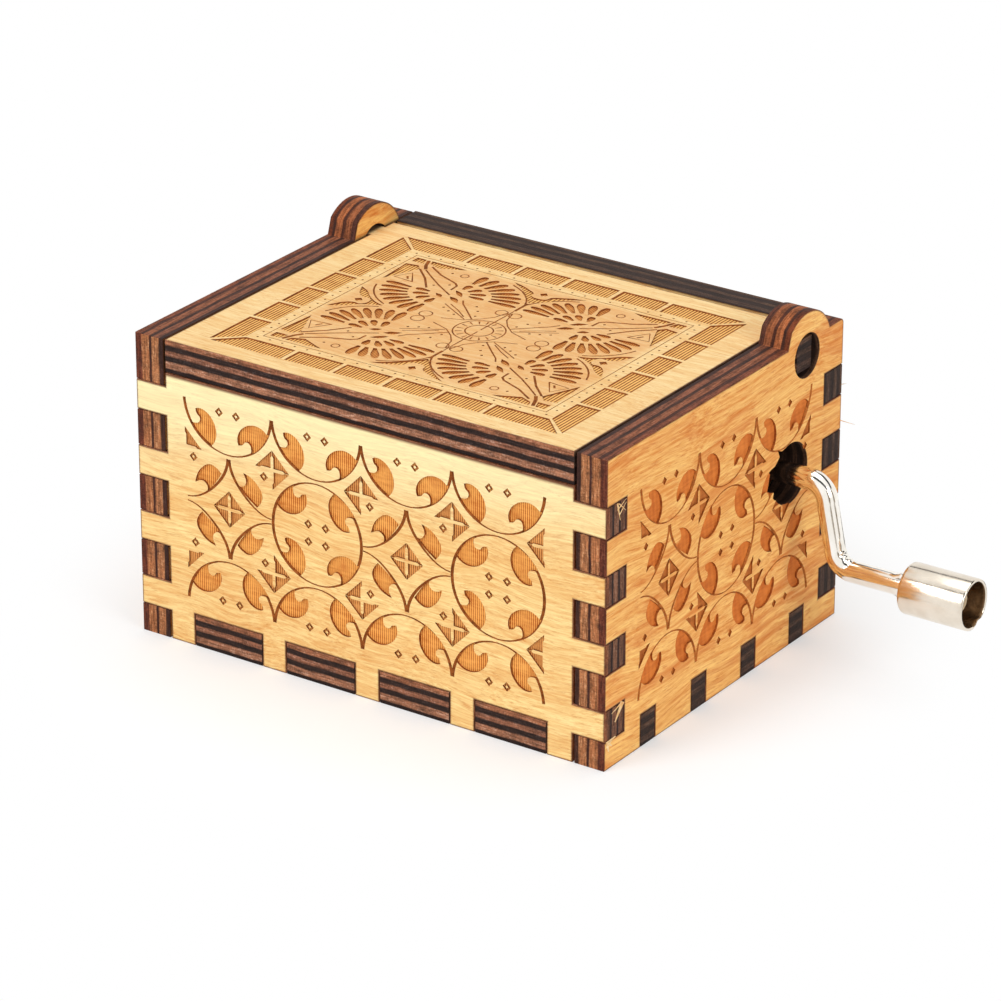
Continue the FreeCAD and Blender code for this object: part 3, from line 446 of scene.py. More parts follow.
def engrave(mesh, cutter, finishes, place, overlapping=False):
    """Cut a solid, placed on a panel's face, out of its mesh, and leave these finishes there."""
    coat(cutter, *finishes)
    cutter.transform(place)
    wood = linked("wood", mesh)
    tool = linked("tool", cutter)
    cut = wood.modifiers.new("cut", "BOOLEAN")
    cut.operation = "DIFFERENCE"
    cut.solver = "EXACT"
    cut.use_self = overlapping
    cut.material_mode = "TRANSFER"
    cut.object = tool
    result = settled(wood)
    bpy.data.objects.remove(tool)
    return result


def on_face(corner, across, up):
    """Places a drawing on a face: across and up are the panel's own directions."""
    across, up = Vector(across), Vector(up)
    turn = Matrix((across, up, across.cross(up))).transposed()
    return Matrix.Translation(corner) @ turn.to_4x4()


def arc(centre, radii, start, end, half_width, count, dip=0.0):
    """Points along part of an ellipse. Half_width gives the line's half width at an angle.

    Dip draws the arc in towards the centre halfway between the axes.
    """
    points = []
    for step in range(count + 1):
        angle = math.radians(start + (end - start) * step / count)
        pull = 1 - dip * math.sin(2 * angle) ** 2
        across = centre[0] + radii[0] * pull * math.cos(angle)
        up = centre[1] + radii[1] * pull * math.sin(angle)
        points.append((across, up, half_width(angle)))
    return points


def ring(centre, radii, half_width, count=48):
    """A whole ellipse as a closed stroke."""
    return arc(centre, radii, 0.0, 360.0 * (count - 1) / count, half_width, count - 1), True


def quarter_turned(points, turns):
    for _ in range(turns):
        points = [(-up, across, corner) for across, up, corner in points]
    return points


# Leaves that grow from a circle round the origin, drawn in its lower left quarter.
FULL_LEAF = [
    (-5.40, -3.20, True), (-4.75, -3.30, False), (-4.10, -3.05, False), (-4.00, -2.50, False),
    (-4.45, -2.05, False), (-4.60, -1.50, True), (-4.10, -1.35, False), (-3.20, -1.50, False),
    (-2.25, -2.25, False), (-1.70, -3.45, False), (-1.80, -4.75, False), (-2.45, -5.72, True),
    (-4.35, -4.45, False),
]
SLIM_LEAF = [
    (-4.95, -3.05, True), (-4.40, -3.15, False), (-3.90, -2.80, False), (-3.75, -2.30, False),
    (-4.15, -1.35, True), (-3.15, -1.65, False), (-2.15, -2.35, False), (-1.45, -3.55, False),
    (-1.70, -4.50, False), (-2.25, -5.20, True), (-3.75, -4.15, False),
]


def lattice(middle, columns, pitch, low, high, dots=(0.58, 0.2)):
    """The engraving of one wall: leaves, scorched diamonds and dots, and the strokes of its lines.

    Columns lists what stands in the middle row, a round or an ogee. Dots is how far the dots reach,
    and the middles left standing in them.
    """
    stretch = pitch / DRAWN_PITCH, (high - low) / DRAWN_HEIGHT
    rise = (low + high) / 2
    leaves, diamonds, strokes = [], [], []

    def put(where, centre, points):
        wide, tall = stretch
        where.append([(centre[0] + a * wide, centre[1] + b * tall, c) for a, b, c in points])

    def leaf(centre, turns, shape):
        put(leaves, centre, quarter_turned(shape, turns))

    def dot(centre):
        for half in dots:
            points = (half, 0), (0, half), (-half, 0), (0, -half)
            put(diamonds, centre, [(a, b, True) for a, b in points])

    def quadrant(centre, turns, half=2.4, gap=0.2, arm=1.5):
        shape = [
            (gap, gap, True),
            (arm, gap, True),
            (arm + 0.25, 0.02, True),
            (half, 0.02, True),
            (0.02, half, True),
            (0.02, arm + 0.25, True),
            (gap, arm, True),
        ]
        put(diamonds, centre, quarter_turned(shape, turns))

    def side_heavy(angle):
        return 0.08 + 0.13 * abs(math.cos(angle)) ** 1.5

    def reach(length):
        return length * stretch[0], length * stretch[1]

    turned = (0, 1, 1), (1, -1, 1), (2, -1, -1), (3, 1, -1)
    count = len(columns)
    centres = [middle + (column - (count - 1) / 2) * pitch for column in range(count)]
    lift = ROW_LIFT * stretch[1]
    tier_lift = TIER_LIFT * stretch[1]
    for centre, kind in zip(centres, columns):
        strokes.append((arc((centre, rise + lift), reach(6.2), 184, 356, side_heavy, 28), False))
        strokes.append((arc((centre, rise - lift), reach(6.2), 4, 176, side_heavy, 28), False))
        for turns, row in ((0, lift), (1, lift), (2, -lift), (3, -lift)):
            leaf((centre, rise + row), turns, FULL_LEAF)
        for side in (-1, 1):
            dot((centre + 1.22 * side, rise + lift - 1.2))
            dot((centre + 1.22 * side, rise - lift + 1.2))
        if kind == ROUND:
            strokes.append(ring((centre, rise), reach(6.22), side_heavy))
            for turns in range(4):
                leaf((centre, rise), turns, FULL_LEAF)
            for side, tier in ((-1, -1), (1, -1), (-1, 1), (1, 1)):
                dot((centre + 1.22 * side, rise + 1.1 * tier))
        else:
            for turns in range(4):
                quadrant((centre, rise), turns, half=2.25)
            for turns, side, tier in turned:
                corner = centre + side * pitch / 2, rise + tier * tier_lift
                start = 180 + 90 * turns
                bow = arc(corner, reach(6.15), start + 2, start + 88, side_heavy, 14, 0.06)
                strokes.append((bow, False))
                leaf(corner, turns, SLIM_LEAF)
                dot((corner[0] - side * 1.2, corner[1] - tier * 1.1))
    for seam in range(count + 1):
        for tier in (-1, 1):
            corner = middle + (seam - count / 2) * pitch, rise + tier * tier_lift
            for turns, side, up in turned:
                column = seam if side > 0 else seam - 1
                if 0 <= column < count and (up == tier or columns[column] != OGEE):
                    quadrant(corner, turns)
    return leaves, diamonds, strokes


def engraved_wall(wood, name, hatch, face, drawing, leaf_tones, deep_tones, line_tones):
    """Cut a lattice into a wall panel's mesh."""
    leaves, diamonds, strokes = drawing
    leaf_floor = engraved_floor(name + "_leaf", hatch, *leaf_tones)
    diamond_floor = engraved_floor(name + "_diamond", hatch, *deep_tones)
    wall = burnt(name + "_burnt", *line_tones)
    sunk = pockets(name + "_leaves", leaves, LEAF_DEEP)
    wood = engrave(wood, sunk, (leaf_floor, wall), face)
    sunk = pockets(name + "_diamonds", diamonds, DIAMOND_DEEP)
    wood = engrave(wood, sunk, (diamond_floor, wall), face)
    return engrave(wood, grooves(name + "_lines", strokes), (wall,), face, overlapping=True)


def painted_top_highlight(place, wood):
    """The front is painted paler towards its top, most of all on the left, as painted light from the
    upper left, and dark brown in a narrow band along its top edge, under the lid.
    """
    height = place.along(2)
    cloud = stretched(place, (0.4, 1.0, 1.0), 0.16, 3.0, 41.0)
    # painted highlight: the upper front is mixed towards pale cream
    share = (height + cloud * 6.0 - place.along(0) * 0.08).step(23.0, 39.0) * 0.62
    wood = share.mix(wood, tint(255, 250, 200))
    return (height.step(FRONT_TOP - 0.7, FRONT_TOP - 0.3) * 0.85).mix(wood, tint(112, 58, 24))


front_tones = (255, 228, 158), (232, 172, 98)
front_leaf = (254, 182, 94), (192, 98, 34)
front_deep = (238, 166, 92), (158, 86, 38)
front_lines = (168, 94, 42), (104, 52, 20)

for name, side, middle, seed, stain_and_painted_light, edges in (
    ("front", -1, FRONT_MIDDLE, 11.0, painted_top_highlight, ((LONG_EDGE, 3.0, 0.7), (END_EDGE, 3.5, 0.6))),
    ("back", 1, 0.0, 17.0, None, ((DARK_EDGE, 4.0, 0.2), (DARK_EDGE, 4.5, 0.3))),
):
    outside = HALF_DEPTH * side
    wood = board(name + "_panel", 1, end_of_x)
    coat(wood, veneer(name + "_veneer", 0, *front_tones, seed, 0.22, stain_and_painted_light))
    for part, (plies, edge_seed, streaky) in zip(("_edge", "_finger_ends"), edges):
        coat(wood, charred(name + part, 1, outside, -side, plies, edge_seed, streaky))
    drawing = lattice(middle, (OGEE, ROUND, OGEE, ROUND), FRONT_PITCH, FRONT_LOW, FRONT_HIGH)
    face = on_face((0, outside, 0), (-side, 0, 0), (0, 0, 1))
    wood = engraved_wall(wood, name, 0, face, drawing, front_leaf, front_deep, front_lines)
    fitted(name + "_board", wood, "case", name + "_panel")

# Side panels
# Birch plywood with slots for the fingers and floor tabs, and an ear at the back for the lid's pivot.
# The same lattice, three columns wide. The crank's hole in the right panel has a torn rim.

HALF_WIDTH = 32.5
CASE_TOP = 38.0
SIDE_PITCH = 12.1
SIDE_LOW = 5.85
SIDE_HIGH = 32.3
CRANK_Y, CRANK_Z = 13.8, 22.3
CRANK_HOLE = 3.75
PIVOT_Y, PIVOT_Z = 16.9, 36.0
PIVOT_HOLE = 2.7
EAR_REACH = 5.3
CHIPPED = 0.9
SIDE_EDGE = (
    (0.90, 94, 44, 28), (2.00, 160, 100, 62), (2.35, 62, 32, 24), (3.40, 162, 104, 66),
    (4.00, 60, 33, 24),
)
TOP_EDGE = (
    (0.70, 120, 66, 44), (1.20, 72, 40, 30), (2.10, 134, 80, 54), (2.60, 62, 38, 30),
    (3.40, 126, 76, 54), (4.00, 56, 34, 27),
)
EAR_EDGE = (
    (0.60, 108, 52, 28), (1.00, 66, 35, 25), (1.90, 158, 90, 52), (2.35, 74, 38, 26),
    (3.30, 140, 80, 48), (4.00, 82, 46, 34),
)
TORN_RIM = [
    (-3.2, -2.3), (-3.75, -1.8), (-3.55, -1.1), (-4.1, -1.0), (-4.6, -0.75), (-4.35, 0.1),
    (-4.2, 0.7), (-4.05, 1.25), (-4.5, 1.95), (-3.4, 2.15), (-2.45, 2.95), (-2.85, 3.85),
    (-2.0, 3.5), (-1.2, 3.62), (-0.4, 2.5), (-1.4, -0.6),
]


def side_kind(face):
    """Materials of a side panel's cuts: 3 in a bore, 4 on the ear, 2 on the top and 1 elsewhere."""
    middle = face.calc_center_median()
    for across, up, radius in ((CRANK_Y, CRANK_Z, CRANK_HOLE), (PIVOT_Y, PIVOT_Z, PIVOT_HOLE)):
        if math.hypot(middle.y - across, middle.z - up) < radius + 0.35:
            return 3
    if middle.z > CASE_TOP - 0.5:
        return 4 if abs(middle.y - PIVOT_Y) < EAR_REACH else 2
    return 1


def painted_lid_gap_shade(place, wood):
    """The inside face is painted dark at the top, as painted shade in the gap where the lid lies close
    beside it.
    """
    height = place.along(2)
    inner = HALF_WIDTH - PLY
    within = place.along(0).size().step(inner + 0.05, inner + 0.25, 1.0, 0.0)
    beside = height.step(32.0, 34.0) * height.step(CASE_TOP - 0.3, CASE_TOP + 0.3, 1.0, 0.0)
    # painted shade beside the lid's edge
    return (within * beside * 0.92).mix(wood, tint(66, 38, 24))


# The sides' veneer and pockets are set more orange and darker than the front's, partly for the veneer's
# turned grain and partly as painted shade and warm light on the sides. Their strokes are set paler than
# the front's, as painted light for the lamp grazing the sides.
side_tones_grain_and_shade = (255, 208, 122), (222, 136, 54)
side_leaf = (234, 138, 60), (184, 88, 30)
side_deep = (210, 124, 56), (140, 68, 26)
side_lines_lit_by_grazing_lamp = (192, 112, 52), (136, 70, 28)
side_drawing = lattice(0.0, (OGEE, ROUND, OGEE), SIDE_PITCH, SIDE_LOW, SIDE_HIGH, (0.5,))
for name, side, seed in (("left_side", -1, 29.0), ("right_side", 1, 23.0)):
    outside = HALF_WIDTH * side
    wood = board(name + "_panel", 0, side_kind)
    coat(wood, veneer(name + "_veneer", 1, *side_tones_grain_and_shade, seed, 0.8, painted_lid_gap_shade))
    for part, plies, shift, streaky in (
        ("_edge", SIDE_EDGE, 1.0, 0.6),
        ("_top", TOP_EDGE, 3.0, 0.3),
        ("_bore", DARK_EDGE, 2.0, 0.1),
        ("_ear", EAR_EDGE, 4.0, 0.3),
    ):
        coat(wood, charred(name + part, 0, outside, -side, plies, seed + shift, streaky))
    face = on_face((outside, 0, 0), (0, side, 0), (0, 0, 1))
    if side == 1:
        outline = [(CRANK_Y + a, CRANK_Z + b, True) for a, b in TORN_RIM]
        torn = pockets("torn_rim", [outline], CHIPPED)
        soot = burnt("torn_rim_soot", (62, 40, 28), (34, 22, 16))
        wood = engrave(wood, torn, (soot, soot), face)
    wood = engraved_wall(wood, name, 1, face, side_drawing, side_leaf, side_deep, side_lines_lit_by_grazing_lamp)
    fitted(name + "_board", wood, "case", name + "_panel")

# Slivers of veneer left standing on the right panel: across the top finger's end, at the lowest one,
# at the foot of the corner, and two fibres off the back edge. Each has two ends and a thickness.
splinter_wood = veneer("splinter_veneer", 1, (252, 228, 178), (238, 184, 114), 51.0)
slivers = bmesh.new()
for start, end, wide in (
    ((32.52, -22.9, 32.1), (32.52, -22.3, 29.9), 0.14),
    ((32.52, -22.9, 31.3), (32.52, -21.1, 32.1), 0.09),
    ((32.52, -22.5, 30.6), (32.52, -21.1, 31.7), 0.08),
    ((32.52, -22.6, 32.0), (32.52, -21.2, 30.7), 0.08),
    ((32.52, -21.5, 7.4), (32.52, -22.9, 5.4), 0.3),
    ((32.52, -21.9, 7.2), (32.52, -23.6, 6.7), 0.12),
    ((32.52, -24.65, 3.3), (32.52, -22.8, 3.6), 0.3),
    ((32.52, -24.5, 3.2), (32.52, -24.1, 2.2), 0.26),
    ((32.52, -24.2, 3.3), (32.52, -23.5, 2.7), 0.24),
    ((32.4, 24.8, 25.1), (34.5, 24.85, 25.0), 0.06),
    ((32.4, 24.8, 29.6), (33.2, 24.85, 29.9), 0.05),
):
    start, end = Vector(start), Vector(end)
    turn = (end - start).normalized().to_track_quat("Z", "X").to_matrix().to_4x4()
    bmesh.ops.create_cone(
        slivers,
        cap_ends=True,
        segments=4,
        radius1=wide,
        radius2=wide * 0.25,
        depth=(end - start).length,
        matrix=Matrix.Translation((start + end) / 2) @ turn,
    )
bmesh.ops.recalc_face_normals(slivers, faces=slivers.faces)
sliver_mesh = mesh_of(slivers, "finger_slivers")
coat(sliver_mesh, splinter_wood)
fitted("finger_slivers", sliver_mesh, "case", None)

# Bedplate, bracket and screws
# The movement stands on a die-cast zinc bedplate, held by two screws from below the floor. A folded
# steel bracket on it carries the crank's bushes.


def metal(name, bright, dull, roughness, stretch, scale, seed, depth=0.0):
    """Bare or plated metal whose tone and roughness vary along its working marks.

    Depth is how deep the marks are, in millimetres.
    """
    material, shader, place = finish(name, roughness=roughness, metallic=1.0)
    marks = stretched(place, stretch, scale, 3.0, seed, 0.6)
    cloud = stretched(place, EVEN, 0.35, 2.0, seed + 4.0)
    tone = marks.step(0.3, 0.7) * 0.6 + cloud.step(0.35, 0.65) * 0.4
    into(shader, "Base Color", tone.mix(tint(*bright), tint(*dull)))
    into(shader, "Roughness", tone.step(0.0, 1.0, roughness - 0.1, roughness + 0.1))
    if depth:
        into(shader, "Normal", marks.bump(0.5, depth))
    return material


def dress(material, *nodes):
    """Give CAD nodes that stay as they are a finish."""
    for node in nodes:
        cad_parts[node].material_slots[0].material = material


dress(metal("cast_zinc", (178, 178, 180), (140, 140, 143), 0.46, EVEN, 2.6, 1.0, 0.06), "bedplate")
dress(
    metal("bracket_sheet", (198, 197, 194), (158, 157, 154), 0.3, (0.1, 1.0, 0.1), 5.0, 2.0, 0.02),
    "worm_bracket",
)
dress(
    metal("screw_plate", (204, 204, 202), (160, 158, 150), 0.26, EVEN, 3.0, 3.0, 0.02),
    "comb_screws",
    "bracket_screws",
    "case_screws",
)

# Comb
# One plate of hardened steel, ground on top and slit into teeth. Lead weights under the bass teeth
# tune them, and two screws hold the comb to the bedplate.

dress(
    metal("comb_steel", (186, 187, 190), (132, 134, 140), 0.3, (1.0, 0.08, 1.0), 6.0, 4.0, 0.02),
    "comb",
    "drum_spring_washer",
)
dress(
    metal("tuning_lead", (112, 112, 116), (74, 74, 78), 0.62, EVEN, 3.0, 5.0, 0.05),
    "comb_lead_weights",
)

# Drum
# A drawn brass tube with steel pins for the tune, on a steel arbor. A brass cap closes one end and
# the moulded gear the other.

AROUND_Y = (0.05, 1.0, 0.05)
dress(metal("drum_brass", (226, 190, 116), (182, 142, 76), 0.24, AROUND_Y, 5.0, 6.0, 0.01), "drum_tube")
dress(metal("cap_brass", (222, 186, 112), (176, 136, 72), 0.28, EVEN, 2.5, 7.0, 0.01), "drum_end_cap")
dress(metal("pin_wire", (206, 203, 194), (160, 156, 146), 0.22, EVEN, 2.0, 8.0), "drum_pins")
dress(metal("arbor_steel", (200, 199, 196), (150, 149, 146), 0.2, AROUND_Y, 4.0, 9.0), "drum_arbor")

nylon, nylon_shader, nylon_place = finish("moulded_nylon", roughness=0.42, specular=0.5)
nylon_cloud = stretched(nylon_place, EVEN, 0.5, 3.0, 3.0)
nylon_grain = stretched(nylon_place, EVEN, 5.0, 2.0, 6.0)
nylon_tone = nylon_cloud.step(0.3, 0.7).mix(tint(240, 238, 230), tint(226, 222, 208))
into(nylon_shader, "Base Color", nylon_tone)
into(nylon_shader, "Roughness", nylon_grain.step(0.3, 0.7, 0.36, 0.5))
into(nylon_shader, "Normal", nylon_grain.bump(0.3, 0.03))
dress(nylon, "drum_gear")

# Worm and bushes
# A turned brass worm, pressed on the crank and held between two flanged brass bushes.

AROUND_X = (1.0, 0.05, 0.05)
dress(metal("worm_brass", (224, 186, 110), (178, 138, 74), 0.25, AROUND_X, 5.0, 10.0, 0.01), "worm")
dress(
    metal("bush_brass", (212, 172, 98), (168, 128, 66), 0.3, AROUND_X, 4.0, 11.0, 0.01),
    "inner_crank_bush",
    "outer_crank_bush",
)

# Crank
# A steel rod, bent twice and nickel plated. The press that bent it left a small crease inside the
# lower bend, and the rod is pinched either side of the sleeve's end so that the sleeve stays on.

ROD = 1.3
ROD_CHAMFER = 0.12
ROD_START, ROD_END = -0.6, 55.9
BEND = 2.6
ARM_X = 37.7
ARM_LEAN = math.radians(7.0)
THROW = 10.0
CRANK_REST = math.radians(2.0)
ROUND_STEPS = 40
CREASE = 0.10
CREASE_WAVES = 14.0
PINCH_REACH = 0.65
PINCH_OUT = 0.42
SLEEVE_START, SLEEVE_END = 49.0, 57.5


def nickel(name, seed, dull, bright, tarnished):
    """Nickel plate with a few scuffs. Dull is its roughness between them."""
    material, shader, place = finish(name, roughness=dull, metallic=1.0)
    cloud = stretched(place, EVEN, 0.5, 3.0, seed)
    scuffs = stretched(place, (0.25, 1.0, 1.0), 4.0, 2.0, seed + 3.0)
    into(shader, "Base Color", cloud.step(0.3, 0.7).mix(tint(*bright), tint(*tarnished)))
    into(shader, "Roughness", scuffs.step(0.35, 0.75, dull * 0.9, dull * 1.25))
    into(shader, "Normal", cloud.bump(0.2, 0.006))
    return material


def ring_of(edges):
    """Extrude a loop of the rod's edges and return the new loop and its vertices."""
    grown = bmesh.ops.extrude_edge_only(rod, edges=edges)["geom"]
    verts = [part for part in grown if isinstance(part, bmesh.types.BMVert)]
    edges = [part for part in grown if isinstance(part, bmesh.types.BMEdge)]
    known = set(verts)
    return [edge for edge in edges if edge.verts[0] in known and edge.verts[1] in known], verts


def run_to(loop, along, steps=1, grow=1.0):
    """Extrude the rod's open end along a straight run, in steps."""
    for _ in range(steps):
        loop, verts = ring_of(loop)
        middle = sum((vert.co for vert in verts), Vector()) / len(verts)
        for vert in verts:
            vert.co = middle + (vert.co - middle) * grow
        bmesh.ops.translate(rod, vec=along / steps, verts=verts)
    return loop


def spun(shape, parts, centre, axis, angle, steps, whole=False):
    """Sweep parts of a shape round an axis, and return the last ones. Whole joins a full turn."""
    how = {"dvec": (0, 0, 0), "space": Matrix(), "use_normal_flip": False, "use_duplicate": False}
    return bmesh.ops.spin(
        shape, geom=parts, cent=centre, axis=axis, angle=angle, steps=steps, use_merge=whole, **how
    )["geom_last"]


def bend_by(loop, centre, angle, steps=18):
    """Bend the rod's open end round a centre in the XZ plane."""
    last = spun(rod, loop, centre, (0, 1, 0), angle, steps)
    return [part for part in last if isinstance(part, bmesh.types.BMEdge)]


rod = bmesh.new()
to_x = Matrix.Rotation(math.radians(90), 4, "Y")
tip = ROD - ROD_CHAMFER
section = bmesh.ops.create_circle(rod, cap_ends=True, segments=ROUND_STEPS, radius=tip, matrix=to_x)
bmesh.ops.translate(rod, vec=(ROD_START, 0, 0), verts=section["verts"])
loop = list(rod.edges)
upper = Vector((ARM_X - BEND, 0, -BEND))
lower = Vector((ARM_X + BEND + THROW * math.tan(ARM_LEAN), 0, BEND - THROW))
across_arm = Vector((math.cos(ARM_LEAN), 0, math.sin(ARM_LEAN))) * BEND
turn = math.pi / 2 - ARM_LEAN
loop = run_to(loop, Vector((ROD_CHAMFER, 0, 0)), grow=ROD / tip)
loop = run_to(loop, Vector((upper.x - ROD_START - ROD_CHAMFER, 0, 0)), steps=8)
loop = bend_by(loop, upper, turn)
loop = run_to(loop, lower - upper - across_arm * 2, steps=6)
loop = bend_by(loop, lower, -turn)
loop = run_to(loop, Vector((ROD_END - ROD_CHAMFER - lower.x, 0, 0)), steps=20)
loop = run_to(loop, Vector((ROD_CHAMFER, 0, 0)), grow=tip / ROD)
bmesh.ops.edgeloop_fill(rod, edges=loop)

# the crease inside the lower bend
for vert in rod.verts:
    inner = (vert.co - lower).length
    if inner < BEND and vert.co.x < lower.x + 0.2:
        share = max(0.0, (BEND - inner) / ROD)
        wave = math.sin(math.atan2(vert.co.z - lower.z, vert.co.x - lower.x) * CREASE_WAVES)
        vert.co += (vert.co - lower).normalized() * share ** 3 * wave * CREASE
# the pinched ears either side of the sleeve's end
for middle in (SLEEVE_START - 0.8, SLEEVE_START + 1.4):
    for vert in rod.verts:
        away = abs(vert.co.x - middle) / PINCH_REACH
        up = vert.co.z + THROW
        if away < 1.0 and abs(up) / ROD > 0.85:
            vert.co.z += math.copysign(PINCH_OUT * (1.0 - away), up)
bmesh.ops.recalc_face_normals(rod, faces=rod.faces)
for face in rod.faces:
    face.smooth = len(face.verts) == 4
    face.material_index = 0 if face.smooth else 1
to_crank = Matrix.Translation((0, CRANK_Y, CRANK_Z)) @ Matrix.Rotation(-CRANK_REST, 4, "X")
bmesh.ops.transform(rod, matrix=to_crank, verts=rod.verts)
rod_mesh = mesh_of(rod, "crank_rod_bent")
coat(
    rod_mesh,
    nickel("rod_nickel", 3.0, 0.12, (253, 249, 241), (244, 238, 227)),
    metal("rod_cut_end", (250, 236, 210), (206, 184, 150), 0.7, EVEN, 3.0, 13.0),
)
fitted("bent_crank", rod_mesh, "crank", "crank_rod")

# Handle sleeve
# A drawn steel cup, nickel plated, that turns on the end of the rod. Its mouth is rolled a little and
# dented at one place, and it is dull and brown inside.

SLEEVE = 3.1
SLEEVE_WALL = 0.4
SLEEVE_FLOOR = 0.6
SLEEVE_BORE = ROD + 0.05
DENT_AT = math.radians(-66)
DENT_DEEP = 0.16
DENT_REACH = 0.7
DENT_SPREAD = 0.2
handle_y = CRANK_Y - THROW * math.sin(CRANK_REST)
handle_z = CRANK_Z - THROW * math.cos(CRANK_REST)

sleeve = bmesh.new()
inside = SLEEVE - SLEEVE_WALL
profile = [
    (SLEEVE_START, SLEEVE_BORE),
    (SLEEVE_START, SLEEVE - 0.35),
    (SLEEVE_START + 0.06, SLEEVE - 0.14),
    (SLEEVE_START + 0.2, SLEEVE - 0.03),
    (SLEEVE_START + 0.4, SLEEVE),
    (SLEEVE_END - 0.25, SLEEVE),
    (SLEEVE_END - 0.06, SLEEVE - 0.04),
    (SLEEVE_END, SLEEVE - 0.16),
    (SLEEVE_END, inside + 0.1),
    (SLEEVE_END - 0.08, inside + 0.02),
    (SLEEVE_END - 0.5, inside),
    (SLEEVE_START + SLEEVE_FLOOR, inside),
    (SLEEVE_START + SLEEVE_FLOOR, SLEEVE_BORE),
]
points = [sleeve.verts.new((along, 0, radius)) for along, radius in profile]
edges = [sleeve.edges.new(pair) for pair in zip(points, points[1:] + points[:1])]
spun(sleeve, points + edges, (0, 0, 0), (1, 0, 0), 2 * math.pi, 72, whole=True)
bmesh.ops.remove_doubles(sleeve, verts=sleeve.verts, dist=0.001)
# the dent in its mouth
for vert in sleeve.verts:
    share = max(0.0, (vert.co.x - SLEEVE_END) / DENT_REACH + 1.0)
    aside = (math.atan2(vert.co.z, vert.co.y) - DENT_AT) / DENT_SPREAD
    pull = DENT_DEEP * share * math.exp(-aside * aside)
    vert.co.y *= 1.0 - pull
    vert.co.z *= 1.0 - pull
bmesh.ops.recalc_face_normals(sleeve, faces=sleeve.faces)
for face in sleeve.faces:
    middle = face.calc_center_median()
    hollow = math.hypot(middle.y, middle.z) < inside + 0.05 and middle.x > SLEEVE_START + 0.3
    face.material_index = 1 if hollow else 0
    face.smooth = True
bmesh.ops.transform(sleeve, matrix=Matrix.Translation((0, handle_y, handle_z)), verts=sleeve.verts)
sleeve_mesh = mesh_of(sleeve, "drawn_sleeve")
coat(
    sleeve_mesh,
    # painted shade: the sleeve's nickel is set warmer and darker than the rod's, for the shaded floor
    # and wood that it reflects
    nickel("sleeve_nickel_painted_shade", 8.0, 0.18, (238, 228, 213), (228, 216, 199)),
    metal("sleeve_inside", (176, 144, 108), (112, 86, 60), 0.4, EVEN, 1.5, 12.0),
)
fitted("handle_cup", sleeve_mesh, "handle", "handle_sleeve")

# Lid
# A plywood board that turns on two tabs of its own in the ears of the side panels. It is engraved
# with fans about a rosette, a row of dots and a border of bars.

LID_MIDDLE = -2.35
LID_END = 28.2
FRAME_X, FRAME_Y = 19.55, 15.3
BAR_DEEP = 0.16
FAN_DEEP = 0.2


def mirrored(points, across, up):
    """The points, flipped across or up where that is -1."""
    return [(across * a, up * b, *rest) for a, b, *rest in points]


def corners(*points):
    return [(a, b, True) for a, b in points]


def on_ellipse(centre, radii, degrees, share):
    """The point at this angle and this share of an ellipse's radii."""
    angle = math.radians(degrees)
    across = centre[0] + radii[0] * share * math.cos(angle)
    return across, centre[1] + radii[1] * share * math.sin(angle)


